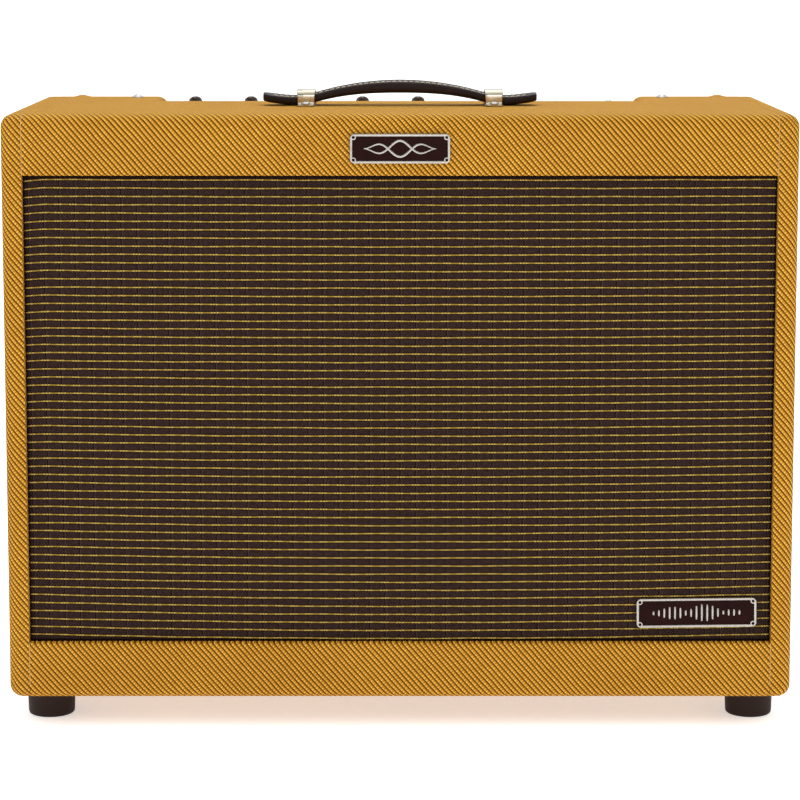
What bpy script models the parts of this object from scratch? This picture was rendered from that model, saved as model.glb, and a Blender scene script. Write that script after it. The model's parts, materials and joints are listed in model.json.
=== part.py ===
"""Open-back guitar combo amplifier: covered wooden cabinet, grille, top-rear control panel, valve chassis and
twelve-inch loudspeaker. Metres, +Z up. The origin is on the floor below the middle of the cabinet, the grille
faces -Y and +X is to the right of someone looking at the grille."""

import math

import bmesh
import bpy
from mathutils import Matrix, Vector

# Cabinet
CABINET_WIDTH = 0.610
CABINET_DEPTH = 0.260
CABINET_HEIGHT = 0.456
FOOT_HEIGHT = 0.023
BOARD = 0.0164
PLY = 0.012
EDGE_RADIUS = 0.010
NOTCH_EDGE_RADIUS = 0.009
GAP = 0.0003
UPPER_PANEL_HEIGHT = 0.0469
LOWER_PANEL_HEIGHT = 0.0446
NOTCH_HALF_WIDTH = 0.1975
NOTCH_FRONT_Y = 0.0608
UPPER_BACK_BOTTOM_Z = 0.376
LOWER_BACK_TOP_Z = 0.150
CLOTH_RECESS = 0.0065
CLOTH_THICKNESS = 0.0012

# Controls, on the recessed panel behind the top board
CONTROL_Y = 0.088
KNOB_PITCH = 0.0467
FIRST_KNOB_X = -0.1716
KNOB_COUNT = 5
JACK_X = 0.0768
PILOT_X = 0.1385
TOGGLE_X = 0.1744
INLET_X = 0.2095
KNOB_TOP_ABOVE_CABINET = 0.0016
SHAFT_RADIUS = 0.003
BUSHING_RADIUS = 0.0047
COLLAR_RADIUS = 0.0055
LAMP_NECK_RADIUS = 0.0060
TOGGLE_TILT = math.radians(13)

# Handle
CLIP_X = 0.075
HANDLE_Y = -0.007
STRAP_WIDTH = 0.026
STRAP_HALF_LENGTH = 0.112
STRAP_ARCH_HEIGHT = 0.0203
STRAP_HEIGHT_AT_CLIP = 0.0080
STRAP_END_CURL = 0.0032
STRAP_CURL_FROM_CLIP = 0.012
STRAP_THICKNESS = 0.0074
STRAP_PADDING = 0.0028
STRAP_PADDING_REACH = 0.045
STRAP_CLEARANCE = 0.0005
STRAP_EDGE_RADIUS = 0.0022
CLIP_WIDTH = 0.015
CLIP_HEIGHT = 0.0128
CLIP_METAL = 0.0013
CLIP_FOOT_REACH = 0.0265
CLIP_SIDE_PLAY = 0.0014
CLIP_BEND_RADIUS = 0.003
CLIP_SCREW_OFFSET = 0.0215

# Loudspeaker, on the axis through the middle of the baffle
BAFFLE_HOLE_RADIUS = 0.140
FRAME_RADIUS = 0.154
MAGNET_RADIUS = 0.078
CONE_RADIUS = 0.128

# Feet, badges and fixings
FOOT_X = 0.2775
FOOT_Y = 0.084
FOOT_RADIUS = 0.019
FOOT_RECESS_RADIUS = 0.006
FOOT_RECESS_DEPTH = 0.012
FRONT_BADGE_SIZE = (0.0764, 0.0226)
FRONT_BADGE_Z = 0.4531
GRILLE_BADGE_SIZE = (0.0935, 0.0232)
GRILLE_BADGE_PLACE = (0.2308, 0.0909)
GRILLE_BADGE_TILT = math.radians(0.7)
BADGE_THICKNESS = 0.0028
BADGE_CORNER_RADIUS = 0.0035
HANDLE_SCREW_HOLE = 0.0021
CHASSIS_SCREW_HOLE = 0.0024
CHASSIS_SCREW_X = 0.221
CHASSIS_SCREW_Y = 0.103
CUT_OVERSHOOT = 0.001

# Levels and faces worked out from the sizes above
FLOOR_OF_CABINET = FOOT_HEIGHT
TOP = FOOT_HEIGHT + CABINET_HEIGHT
UNDER_TOP_BOARD = TOP - BOARD
ABOVE_BOTTOM_BOARD = FLOOR_OF_CABINET + BOARD
HALF_WIDTH = CABINET_WIDTH / 2
INNER_HALF_WIDTH = HALF_WIDTH - BOARD - GAP
FRONT = -CABINET_DEPTH / 2
BACK = CABINET_DEPTH / 2
GRILLE_TOP = TOP - UPPER_PANEL_HEIGHT
GRILLE_BOTTOM = FLOOR_OF_CABINET + LOWER_PANEL_HEIGHT
CLOTH_FRONT = FRONT + CLOTH_RECESS
BAFFLE_FRONT = CLOTH_FRONT + CLOTH_THICKNESS + GAP
BAFFLE_BACK = BAFFLE_FRONT + PLY
SPEAKER_Z = (GRILLE_TOP + GRILLE_BOTTOM) / 2
CHASSIS_TOP = UNDER_TOP_BOARD - GAP
CHASSIS_BOTTOM = 0.400
CHASSIS_METAL = 0.0015
CHASSIS_FRONT_Y = 0.058
CHASSIS_BACK_Y = 0.116
CHASSIS_HALF_WIDTH = 0.235
PANEL_TOP = CHASSIS_TOP + GAP + 0.0012
ON_PANEL = PANEL_TOP + GAP
UNDER_PLATE = CHASSIS_TOP - CHASSIS_METAL - GAP


# Materials: colour, roughness and metallic value of each finish
def finish(name, colour, roughness, metallic=0.0, glass=False):
    material = bpy.data.materials.new(name)
    material.use_nodes = True
    shader = material.node_tree.nodes["Principled BSDF"]
    shader.inputs["Base Color"].default_value = (*colour, 1.0)
    shader.inputs["Roughness"].default_value = roughness
    shader.inputs["Metallic"].default_value = metallic
    if glass:
        shader.inputs["Transmission Weight"].default_value = 0.9
    return material


def clear_scene():
    for thing in list(bpy.data.objects):
        bpy.data.objects.remove(thing, do_unlink=True)


clear_scene()

TWEED = finish("tweed", (0.46, 0.22, 0.03), 0.75)
CLOTH = finish("grille_cloth", (0.066, 0.036, 0.019), 0.85)
BLACK_PAINT = finish("black_paint", (0.02, 0.02, 0.02), 0.5)
RUBBER = finish("rubber", (0.024, 0.012, 0.010), 0.7)
CHROME = finish("chrome", (0.80, 0.80, 0.82), 0.12, 1.0)
STEEL = finish("steel", (0.52, 0.52, 0.53), 0.35, 1.0)
LEATHER = finish("leather", (0.018, 0.010, 0.010), 0.5)
KNOB_PLASTIC = finish("knob_plastic", (0.035, 0.020, 0.018), 0.3)
AMBER = finish("amber_jewel", (0.9, 0.32, 0.02), 0.08, glass=True)
BADGE = finish("badge", (0.028, 0.012, 0.012), 0.4)
PAPER = finish("cone_paper", (0.03, 0.028, 0.026), 0.9)
SPIDER_CLOTH = finish("spider_cloth", (0.42, 0.25, 0.09), 0.9)
GLASS = finish("valve_glass", (0.85, 0.88, 0.9), 0.05, glass=True)
IRON = finish("transformer", (0.05, 0.05, 0.055), 0.45, 0.3)
BOARD_FIBRE = finish("circuit_board", (0.25, 0.16, 0.06), 0.6)


# Shape helpers
def add_object(name, bm, material, location=(0, 0, 0), smooth_angle=None):
    bmesh.ops.recalc_face_normals(bm, faces=bm.faces[:])
    mesh = bpy.data.meshes.new(name)
    bm.to_mesh(mesh)
    bm.free()
    if smooth_angle is not None:
        mesh.shade_smooth()
        mesh.set_sharp_from_angle(angle=math.radians(smooth_angle))
    mesh.materials.append(material)
    thing = bpy.data.objects.new(name, mesh)
    thing.location = location
    bpy.context.scene.collection.objects.link(thing)
    return thing


def block(low, high):
    """A bmesh box between two corners."""
    bm = bmesh.new()
    bmesh.ops.create_cube(bm, size=1.0)
    low, high = Vector(low), Vector(high)
    size = high - low
    for vertex in bm.verts:
        vertex.co = low + Vector((vertex.co[i] + 0.5) * size[i] for i in range(3))
    return bm


def round_edges(bm, chosen, radius, segments=3):
    """Rounds the edges for which chosen(first corner, second corner) holds."""
    edges = [edge for edge in bm.edges if chosen(edge.verts[0].co, edge.verts[1].co)]
    bmesh.ops.bevel(
        bm, geom=edges, offset=radius, offset_type="OFFSET", segments=segments, profile=0.5, affect="EDGES"
    )
    return bm


def prism(outline, low, high, plane="XY"):
    """Extrudes a flat outline between two levels of the axis that isn't in its plane."""
    place = {
        "XY": lambda u, v, w: (u, v, w),
        "XZ": lambda u, v, w: (u, w, v),
        "YZ": lambda u, v, w: (w, u, v),
    }[plane]
    bm = bmesh.new()
    bottom = bm.faces.new([bm.verts.new(place(u, v, low)) for u, v in outline])
    grown = bmesh.ops.extrude_face_region(bm, geom=[bottom])
    step = Vector(place(0, 0, high - low))
    moved = [item for item in grown["geom"] if isinstance(item, bmesh.types.BMVert)]
    bmesh.ops.translate(bm, vec=step, verts=moved)
    bmesh.ops.recalc_face_normals(bm, faces=bm.faces[:])
    return bm


def turned(profile, segments, closed=False):
    """Turns (radius, height) points about Z. An open profile starts and ends on the axis."""
    bm = bmesh.new()
    rings = []
    for radius, height in profile:
        if radius == 0:
            rings.append([bm.verts.new((0, 0, height))])
            continue
        angles = [2 * math.pi * i / segments for i in range(segments)]
        ring = [bm.verts.new((radius * math.cos(a), radius * math.sin(a), height)) for a in angles]
        rings.append(ring)
    pairs = list(zip(rings, rings[1:]))
    if closed:
        pairs.append((rings[-1], rings[0]))
    for upper, lower in pairs:
        for i in range(segments):
            j = (i + 1) % segments
            if len(upper) == 1:
                bm.faces.new((upper[0], lower[i], lower[j]))
            elif len(lower) == 1:
                bm.faces.new((upper[i], lower[0], upper[j]))
            else:
                bm.faces.new((upper[i], lower[i], lower[j], upper[j]))
    bmesh.ops.recalc_face_normals(bm, faces=bm.faces[:])
    return bm


def rod(radius, low, high, segments=16):
    return turned([(0, high), (radius, high), (radius, low), (0, low)], segments)


def facing_back(bm):
    """Turns a shape made along +Z so that it runs along +Y."""
    bmesh.ops.rotate(bm, cent=(0, 0, 0), matrix=Matrix.Rotation(math.radians(-90), 3, "X"), verts=bm.verts[:])
    return bm


def join(first, second):
    """Adds the second bmesh to the first as one more shell."""
    mesh = bpy.data.meshes.new("joined")
    second.to_mesh(mesh)
    second.free()
    first.from_mesh(mesh)
    bpy.data.meshes.remove(mesh)
    return first


def boolean(thing, name, bm, operation, location=(0, 0, 0)):
    """Cuts or adds a helper shape, which stays hidden."""
    helper = add_object(name, bm, STEEL, location)
    helper.hide_render = True
    helper.display_type = "WIRE"
    modifier = thing.modifiers.new(name, "BOOLEAN")
    modifier.operation = operation
    modifier.object = helper
    modifier.solver = "EXACT"
    return helper


def rounded_rectangle(width, height, radius, steps=4):
    """Outline of a rectangle with round corners, centred on the origin."""
    points = []
    corners = ((1, 1, 0), (-1, 1, 90), (-1, -1, 180), (1, -1, 270))
    for side_x, side_y, start in corners:
        centre_x = side_x * (width / 2 - radius)
        centre_y = side_y * (height / 2 - radius)
        for step in range(steps + 1):
            angle = math.radians(start + 90 * step / steps)
            points.append((centre_x + radius * math.cos(angle), centre_y + radius * math.sin(angle)))
    return points


def strip_outline(path, thickness):
    """Outline of a bent metal strip of even thickness along an open path, with mitred corners."""
    points = [Vector(point) for point in path]
    sides = []
    for i, point in enumerate(points):
        before = (point - points[i - 1]).normalized() if i else None
        after = (points[i + 1] - point).normalized() if i + 1 < len(points) else None
        normals = [Vector((-way.y, way.x)) for way in (before, after) if way]
        normal = sum(normals, Vector((0, 0))).normalized()
        stretch = 1 / max(0.2, normal.dot(normals[0]))
        sides.append(normal * stretch * thickness / 2)
    left = [tuple(point + side) for point, side in zip(points, sides)]
    right = [tuple(point - side) for point, side in zip(points, sides)]
    return left + right[::-1]


# Cabinet boards
def near(a, b):
    return abs(a - b) < 1e-6


def make_side_board(name, side):
    outer = side * HALF_WIDTH
    inner = side * (HALF_WIDTH - BOARD)
    bm = block((min(outer, inner), FRONT, FLOOR_OF_CABINET), (max(outer, inner), BACK, TOP))
    round_edges(bm, lambda a, b: not (near(a.x, inner) and near(b.x, inner)), EDGE_RADIUS)
    add_object(name, bm, TWEED, smooth_angle=40)


def make_top_board():
    x, notch = INNER_HALF_WIDTH, NOTCH_HALF_WIDTH
    outline = [(-x, FRONT), (x, FRONT), (x, BACK), (notch, BACK)]
    outline += [(notch, NOTCH_FRONT_Y), (-notch, NOTCH_FRONT_Y), (-notch, BACK), (-x, BACK)]
    bm = prism(outline, UNDER_TOP_BOARD, TOP)
    on_top = lambda a, b: near(a.z, TOP) and near(b.z, TOP)
    round_edges(bm, lambda a, b: on_top(a, b) and near(a.y, FRONT) and near(b.y, FRONT), EDGE_RADIUS)
    beside_notch = lambda p: abs(p.x) < x - 1e-6
    round_edges(
        bm,
        lambda a, b: on_top(a, b) and min(a.y, b.y) > 0.05 and (beside_notch(a) or beside_notch(b)),
        NOTCH_EDGE_RADIUS,
    )
    board = add_object("top_board", bm, TWEED, smooth_angle=40)
    holes = None
    for hole_x in (-CLIP_X, CLIP_X):
        for side in (-1, 1):
            hole = rod(HANDLE_SCREW_HOLE, UNDER_TOP_BOARD - CUT_OVERSHOOT, TOP + CUT_OVERSHOOT, 10)
            spot = (hole_x, HANDLE_Y + side * CLIP_SCREW_OFFSET, 0)
            bmesh.ops.translate(hole, vec=spot, verts=hole.verts[:])
            holes = join(holes, hole) if holes else hole
    for side in (-1, 1):
        hole = rod(CHASSIS_SCREW_HOLE, UNDER_TOP_BOARD - CUT_OVERSHOOT, TOP + CUT_OVERSHOOT, 10)
        bmesh.ops.translate(hole, vec=(side * CHASSIS_SCREW_X, CHASSIS_SCREW_Y, 0), verts=hole.verts[:])
        holes = join(holes, hole)
    boolean(board, "top_board_holes", holes, "DIFFERENCE")


def make_bottom_board():
    x = INNER_HALF_WIDTH
    bm = block((-x, FRONT, FLOOR_OF_CABINET), (x, BACK, ABOVE_BOTTOM_BOARD))
    low = FLOOR_OF_CABINET
    round_edges(bm, lambda a, b: near(a.z, low) and near(b.z, low) and near(a.y, b.y), EDGE_RADIUS)
    add_object("bottom_board", bm, TWEED, smooth_angle=40)


def make_front_panel(name, low, high, opening_edge):
    """A tweed-covered panel above or below the grille, with its edge at the grille rounded."""
    bm = block((-INNER_HALF_WIDTH, FRONT, low), (INNER_HALF_WIDTH, FRONT + PLY, high))
    at_opening = lambda p: near(p.z, opening_edge) and near(p.y, FRONT)
    round_edges(bm, lambda a, b: at_opening(a) and at_opening(b), 0.0025, 2)
    add_object(name, bm, TWEED, smooth_angle=40)


def make_baffle():
    low, high = GRILLE_BOTTOM + GAP, GRILLE_TOP - GAP
    bm = block((-INNER_HALF_WIDTH, BAFFLE_FRONT, low), (INNER_HALF_WIDTH, BAFFLE_BACK, high))
    board = add_object("baffle_board", bm, BLACK_PAINT)
    hole = facing_back(rod(BAFFLE_HOLE_RADIUS, BAFFLE_FRONT - 0.002, BAFFLE_BACK + 0.002, 40))
    boolean(board, "baffle_hole", hole, "DIFFERENCE", (0, 0, SPEAKER_Z))
    cloth_back = CLOTH_FRONT + CLOTH_THICKNESS
    cloth = block((-INNER_HALF_WIDTH, CLOTH_FRONT, low), (INNER_HALF_WIDTH, cloth_back, high))
    add_object("grille_cloth", cloth, CLOTH)


def make_back_panel(name, low, high):
    bm = block((-INNER_HALF_WIDTH, BACK - PLY, low), (INNER_HALF_WIDTH, BACK, high))
    outside = lambda p: near(p.y, BACK)
    round_edges(bm, lambda a, b: outside(a) and outside(b), 0.002, 2)
    add_object(name, bm, TWEED, smooth_angle=40)


def make_foot(name, x, y):
    radius, recess = FOOT_RADIUS, FOOT_RECESS_RADIUS
    top = FOOT_HEIGHT - GAP
    profile = [(0, top), (radius - 0.0015, top), (radius, top - 0.003)]
    profile += [(radius - 0.001, 0), (recess, 0), (recess, FOOT_RECESS_DEPTH), (0, FOOT_RECESS_DEPTH)]
    add_object(name, turned(profile, 22), RUBBER, (x, y, 0), smooth_angle=35)


# Badges: a plain bordered plate each, with no lettering
def make_badge(name, size, place, back_y, tilt=0.0):
    outline = rounded_rectangle(*size, BADGE_CORNER_RADIUS)
    bm = prism(outline, back_y - BADGE_THICKNESS, back_y, "XZ")
    bmesh.ops.rotate(bm, cent=(0, 0, 0), matrix=Matrix.Rotation(-tilt, 3, "Y"), verts=bm.verts[:])
    add_object(name, bm, BADGE, (place[0], 0, place[1]), smooth_angle=35)


# Handle: a stitched strap held down by two bridge clips
def strap_top(x):
    """Height of the strap's upper face over the top board."""
    arch = STRAP_ARCH_HEIGHT - (STRAP_ARCH_HEIGHT - STRAP_HEIGHT_AT_CLIP) * min(1.0, (x / CLIP_X) ** 2)
    curl_start = CLIP_X + STRAP_CURL_FROM_CLIP
    curl = max(0.0, (abs(x) - curl_start) / (STRAP_HALF_LENGTH - curl_start)) ** 1.5
    return arch + STRAP_END_CURL * curl


def strap_thickness(x):
    return STRAP_THICKNESS + STRAP_PADDING * math.exp(-((x / STRAP_PADDING_REACH) ** 2))


def make_strap():
    columns = 26
    half = STRAP_HALF_LENGTH
    stations = [-half + 2 * half * i / columns for i in range(columns + 1)]
    upper = [(x, TOP + strap_top(x)) for x in stations]
    lower = [(x, TOP + max(STRAP_CLEARANCE, strap_top(x) - strap_thickness(x))) for x in stations]
    y = HANDLE_Y
    bm = prism(upper + lower[::-1], y - STRAP_WIDTH / 2, y + STRAP_WIDTH / 2, "XZ")
    on_upper_face = lambda p: p.z > TOP + strap_top(p.x) - 0.0001
    round_edges(
        bm, lambda a, b: near(a.y, b.y) and on_upper_face(a) and on_upper_face(b), STRAP_EDGE_RADIUS, 2
    )
    add_object("handle_strap", bm, LEATHER, smooth_angle=30)


def clip_path():
    """Centre line of the bridge clip, from its front foot over the strap to its rear foot."""
    half = CLIP_METAL / 2
    foot, wall = CLIP_FOOT_REACH, STRAP_WIDTH / 2 + CLIP_SIDE_PLAY
    crown, bend = CLIP_HEIGHT - half, CLIP_BEND_RADIUS
    side = [(foot, half + GAP), (wall, half + GAP)]
    for step in range(4):
        angle = math.radians(30 * step)
        side.append((wall - bend + bend * math.cos(angle), crown - bend + bend * math.sin(angle)))
    left = [(-y, z) for y, z in side]
    return left + side[::-1]


def make_clip(name, x):
    outline = [(HANDLE_Y + y, TOP + z) for y, z in strip_outline(clip_path(), CLIP_METAL)]
    clip = add_object(
        name, prism(outline, x - CLIP_WIDTH / 2, x + CLIP_WIDTH / 2, "YZ"), CHROME, smooth_angle=35
    )
    holes = None
    for side in (-1, 1):
        hole = rod(HANDLE_SCREW_HOLE, TOP - CUT_OVERSHOOT, TOP + 0.004, 10)
        bmesh.ops.translate(hole, vec=(x, HANDLE_Y + side * CLIP_SCREW_OFFSET, 0), verts=hole.verts[:])
        holes = join(holes, hole) if holes else hole
    boolean(clip, name + "_holes", holes, "DIFFERENCE")


def make_screw(name, x, y, seat, head_radius, head_height, shank_radius, length):
    """A domed screw standing on its seat, with its shank hanging below."""
    profile = [(0, head_height), (head_radius * 0.55, head_height * 0.82)]
    profile += [(head_radius * 0.9, head_height * 0.35), (head_radius, 0), (shank_radius, 0)]
    profile += [(shank_radius, -length), (0, -length - shank_radius)]
    add_object(name, turned(profile, 14), CHROME, (x, y, seat + GAP), smooth_angle=40)


# Chassis and controls
def make_chassis():
    front, back = CHASSIS_FRONT_Y, CHASSIS_BACK_Y
    half = CHASSIS_HALF_WIDTH
    tray = add_object("chassis", block((-half, front, CHASSIS_BOTTOM), (half, back, CHASSIS_TOP)), STEEL)
    metal = CHASSIS_METAL
    low = (-half + metal, front + metal, CHASSIS_BOTTOM + metal)
    high = (half - metal, back + 0.01, CHASSIS_TOP - metal)
    boolean(tray, "chassis_hollow", block(low, high), "DIFFERENCE")
    holes = panel_holes(CHASSIS_TOP - 0.003, CHASSIS_TOP + CUT_OVERSHOOT)
    for side in (-1, 1):
        hole = rod(CHASSIS_SCREW_HOLE, CHASSIS_TOP - 0.003, CHASSIS_TOP + CUT_OVERSHOOT, 10)
        bmesh.ops.translate(hole, vec=(side * CHASSIS_SCREW_X, CHASSIS_SCREW_Y, 0), verts=hole.verts[:])
        join(holes, hole)
    boolean(tray, "chassis_panel_holes", holes, "DIFFERENCE")
    window = block((-0.0114, -0.0149, CHASSIS_BOTTOM - 0.001), (0.0114, 0.0149, CHASSIS_BOTTOM + 0.003))
    boolean(tray, "inlet_window", window, "DIFFERENCE", (INLET_X, CONTROL_Y - 0.001, 0))


def knob_positions():
    return [FIRST_KNOB_X + KNOB_PITCH * i for i in range(KNOB_COUNT)]


def panel_holes(low, high):
    """One cutter for every control's bushing."""
    spots = [(x, BUSHING_RADIUS + GAP) for x in knob_positions()]
    spots += [(JACK_X, COLLAR_RADIUS + GAP), (PILOT_X, LAMP_NECK_RADIUS + GAP), (TOGGLE_X, COLLAR_RADIUS + GAP)]
    holes = None
    for x, radius in spots:
        hole = rod(radius, low, high, 12)
        bmesh.ops.translate(hole, vec=(x, CONTROL_Y, 0), verts=hole.verts[:])
        holes = join(holes, hole) if holes else hole
    return holes


def make_control_panel():
    x = NOTCH_HALF_WIDTH - GAP
    low = CHASSIS_TOP + GAP
    panel = add_object(
        "control_panel", block((-x, NOTCH_FRONT_Y + GAP, low), (x, BACK - 0.001, PANEL_TOP)), CHROME
    )
    cutter = panel_holes(low - CUT_OVERSHOOT, PANEL_TOP + CUT_OVERSHOOT)
    boolean(panel, "control_panel_holes", cutter, "DIFFERENCE")


def make_pot(name, x):
    can_top = UNDER_PLATE
    can_bottom = can_top - 0.011
    nut_top = ON_PANEL + 0.0018
    bore = SHAFT_RADIUS + GAP
    profile = [(0, can_bottom), (0.012, can_bottom), (0.012, can_top), (BUSHING_RADIUS, can_top)]
    profile += [(BUSHING_RADIUS, ON_PANEL), (0.0062, ON_PANEL), (0.0062, nut_top), (bore, nut_top)]
    profile += [(bore, can_bottom + 0.003), (0, can_bottom + 0.003)]
    add_object(name, turned(profile[::-1], 14), STEEL, (x, CONTROL_Y, 0), smooth_angle=35)
    return can_bottom + 0.003 + GAP


def make_shaft(name, x, low):
    """The turning shaft, whose tip stops inside the knob."""
    high = TOP - 0.0055
    add_object(name, rod(SHAFT_RADIUS, low, high, 12), STEEL, (x, CONTROL_Y, 0), smooth_angle=35)
    return high


def knob_pointer():
    """The raised bar across a pointer knob: a round tail, a tapering nose along -Y and a narrower ridge."""
    top = TOP + KNOB_TOP_ABOVE_CABINET
    base = ON_PANEL + 0.0012
    shoulder = top - 0.0018
    levels = ((base, 1.0), (shoulder, 0.86), (top, 0.42))
    nose, tail, half = 0.0168, 0.0095, 0.0062
    bm = bmesh.new()
    rings = []
    for z, wide in levels:
        outline = [(-0.0016 * wide, -nose), (0.0016 * wide, -nose), (half * wide * 0.86, -0.004)]
        for step in range(7):
            angle = math.radians(-15 + 35 * step)
            outline.append((half * wide * math.cos(angle), tail * 0.55 + tail * 0.45 * math.sin(angle)))
        outline.append((-half * wide * 0.86, -0.004))
        rings.append([bm.verts.new((x, y, z)) for x, y in outline])
    count = len(rings[0])
    for low, high in zip(rings, rings[1:]):
        for i in range(count):
            j = (i + 1) % count
            bm.faces.new((low[i], low[j], high[j], high[i]))
    bm.faces.new(rings[0])
    bm.faces.new(rings[-1])
    bmesh.ops.recalc_face_normals(bm, faces=bm.faces[:])
    return bm


def make_knob(name, x, shaft_top):
    base = ON_PANEL + 0.0007
    skirt = 0.0062
    radius = 0.0098
    recess = 0.0076
    bore = SHAFT_RADIUS + GAP
    inner = base + 0.0034
    # The bore reaches above the skirt, into the pointer, so it is cut after the two are joined.
    solid = [(0, base + skirt + 0.0016), (radius * 0.7, base + skirt + 0.0012), (radius, base + skirt - 0.001)]
    solid += [(radius, base), (0, base)]
    knob = add_object(name, turned(solid, 20), KNOB_PLASTIC, (x, CONTROL_Y, 0), smooth_angle=35)
    boolean(knob, name + "_pointer", knob_pointer(), "UNION", (x, CONTROL_Y, 0))
    hollow = [(0, shaft_top + GAP), (bore, shaft_top + GAP), (bore, inner), (recess, inner)]
    hollow += [(recess, base - 0.002), (0, base - 0.002)]
    boolean(knob, name + "_hollow", turned(hollow, 12), "DIFFERENCE", (x, CONTROL_Y, 0))


def make_toggle():
    pivot = PANEL_TOP + 0.0036
    collar_top = PANEL_TOP + 0.0058
    x, wide = TOGGLE_X, COLLAR_RADIUS
    body = block((-0.0085, -0.014, UNDER_PLATE - 0.022), (0.0085, 0.014, UNDER_PLATE))
    switch = add_object("toggle_switch_body", body, STEEL, (x, CONTROL_Y, 0))
    collar = [(0, collar_top), (0.0052, collar_top), (wide, collar_top - 0.0005), (wide, ON_PANEL + 0.002)]
    collar += [(0.0080, ON_PANEL + 0.002), (0.0080, ON_PANEL), (wide, ON_PANEL)]
    collar += [(wide, UNDER_PLATE - 0.001), (0, UNDER_PLATE - 0.001)]
    boolean(switch, "toggle_collar", turned(collar, 18), "UNION", (x, CONTROL_Y, 0))
    socket = rod(0.0037, pivot - 0.0035, collar_top + 0.002, 16)
    boolean(switch, "toggle_socket", socket, "DIFFERENCE", (x, CONTROL_Y, 0))
    tip = (TOP - 0.001 - pivot) / math.cos(TOGGLE_TILT)
    profile = [(0, tip), (0.0016, tip - 0.0002), (0.0026, tip - 0.0015), (0.0026, tip - 0.003)]
    profile += [(0.0015, 0.0022), (0.0023, 0.0010), (0.0023, -0.0010), (0.0012, -0.0020), (0, -0.0023)]
    lever = add_object("toggle_lever", turned(profile, 14), CHROME, (x, CONTROL_Y, pivot), smooth_angle=40)
    lever.rotation_euler = (TOGGLE_TILT, 0, 0)


def make_pilot_lamp():
    rim_top = PANEL_TOP + 0.0048
    holder = [(0.0055, rim_top - 0.0008), (0.0072, rim_top), (0.0084, rim_top - 0.001), (0.0086, ON_PANEL)]
    holder += [(LAMP_NECK_RADIUS, ON_PANEL), (LAMP_NECK_RADIUS, UNDER_PLATE - 0.016)]
    holder += [(0.0045, UNDER_PLATE - 0.016)]
    holder += [(0.0045, rim_top - 0.003), (0.0055, rim_top - 0.003)]
    bezel = turned(holder, 18, closed=True)
    add_object("pilot_lamp_bezel", bezel, CHROME, (PILOT_X, CONTROL_Y, 0), smooth_angle=35)
    tip = TOP - 0.0022
    base = rim_top + GAP
    jewel = [(0, tip), (0.0026, tip - 0.0006), (0.0048, tip - 0.0028), (0.0062, base + 0.0015), (0.0062, base)]
    jewel += [(0.0041, base), (0.0041, rim_top - 0.0035), (0, rim_top - 0.0035)]
    add_object("pilot_jewel", turned(jewel, 12), AMBER, (PILOT_X, CONTROL_Y, 0))


def make_jack():
    x, wide = JACK_X, COLLAR_RADIUS
    body = block((-0.0095, -0.010, UNDER_PLATE - 0.026), (0.0095, 0.010, UNDER_PLATE))
    jack = add_object("input_jack", body, STEEL, (x, CONTROL_Y, 0))
    collar = [(0, PANEL_TOP + 0.0038), (wide, PANEL_TOP + 0.0038), (wide, ON_PANEL + 0.0022)]
    collar += [(0.0078, ON_PANEL + 0.0022), (0.0078, ON_PANEL), (wide, ON_PANEL)]
    collar += [(wide, UNDER_PLATE - 0.001), (0, UNDER_PLATE - 0.001)]
    boolean(jack, "jack_collar", turned(collar, 20), "UNION", (x, CONTROL_Y, 0))
    socket = rod(0.0036, UNDER_PLATE - 0.022, PANEL_TOP + 0.006, 16)
    boolean(jack, "jack_socket", socket, "DIFFERENCE", (x, CONTROL_Y, 0))


# Valves, transformers and board
def make_valve(name, x, radius, length):
    """A valve hanging from its socket under the chassis: a base, then a glass bulb with a pip."""
    top = CHASSIS_BOTTOM - GAP
    base = 0.014
    low = top - base - length
    neck = top - base
    profile = [(0, top), (radius * 0.92, top), (radius * 0.92, neck), (radius, neck - 0.004)]
    profile += [(radius, low + radius * 0.8), (radius * 0.72, low + radius * 0.25), (0.003, low)]
    profile += [(0, low - 0.005)]
    add_object(name, turned(profile, 16), GLASS, (x, CONTROL_Y, 0), smooth_angle=35)


def make_transformer(name, x, width, height, depth):
    """A laminated core with end bells, hung below the chassis by its flange."""
    top = CHASSIS_BOTTOM - GAP
    y = CONTROL_Y - 0.003
    core = block((-width / 2, -depth / 4, top - height), (width / 2, depth / 4, top))
    unit = add_object(name, core, IRON, (x, y, 0))
    low, high = top - height * 0.92, top - height * 0.08
    bells = block((-width * 0.34, -depth / 2, low), (width * 0.34, depth / 2, high))
    round_edges(bells, lambda a, b: near(abs(a.y), depth / 2) and near(abs(b.y), depth / 2), 0.006, 2)
    boolean(unit, name + "_bells", bells, "UNION", (x, y, 0))


def make_circuit_board():
    wall = CHASSIS_FRONT_Y + CHASSIS_METAL
    board = block((-0.150, wall + 0.0040, 0.407), (0.150, wall + 0.0060, 0.444))
    add_object("circuit_board", board, BOARD_FIBRE)


def make_mains_inlet():
    """A recessed three-pole inlet that faces down, in a window of the chassis floor."""
    x, y = INLET_X, CONTROL_Y - 0.001
    face = CHASSIS_BOTTOM - GAP
    flange = prism(rounded_rectangle(0.027, 0.048, 0.004, 3), face - 0.0016, face)
    inlet = add_object("mains_inlet", flange, KNOB_PLASTIC, (x, y, 0), smooth_angle=35)
    housing = block((-0.0110, -0.0145, face - 0.0008), (0.0110, 0.0145, face + 0.024))
    boolean(inlet, "inlet_housing", housing, "UNION", (x, y, 0))
    socket = block((-0.0083, -0.0120, face - 0.006), (0.0083, 0.0120, face + 0.016))
    boolean(inlet, "inlet_socket", socket, "DIFFERENCE", (x, y, 0))


# Loudspeaker, turned about its own axis and then laid along +Y
def speaker_piece(name, profile, segments, material, closed=False):
    bm = facing_back(turned(profile, segments, closed))
    return add_object(name, bm, material, (0, 0, SPEAKER_Z), smooth_angle=35)


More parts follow.
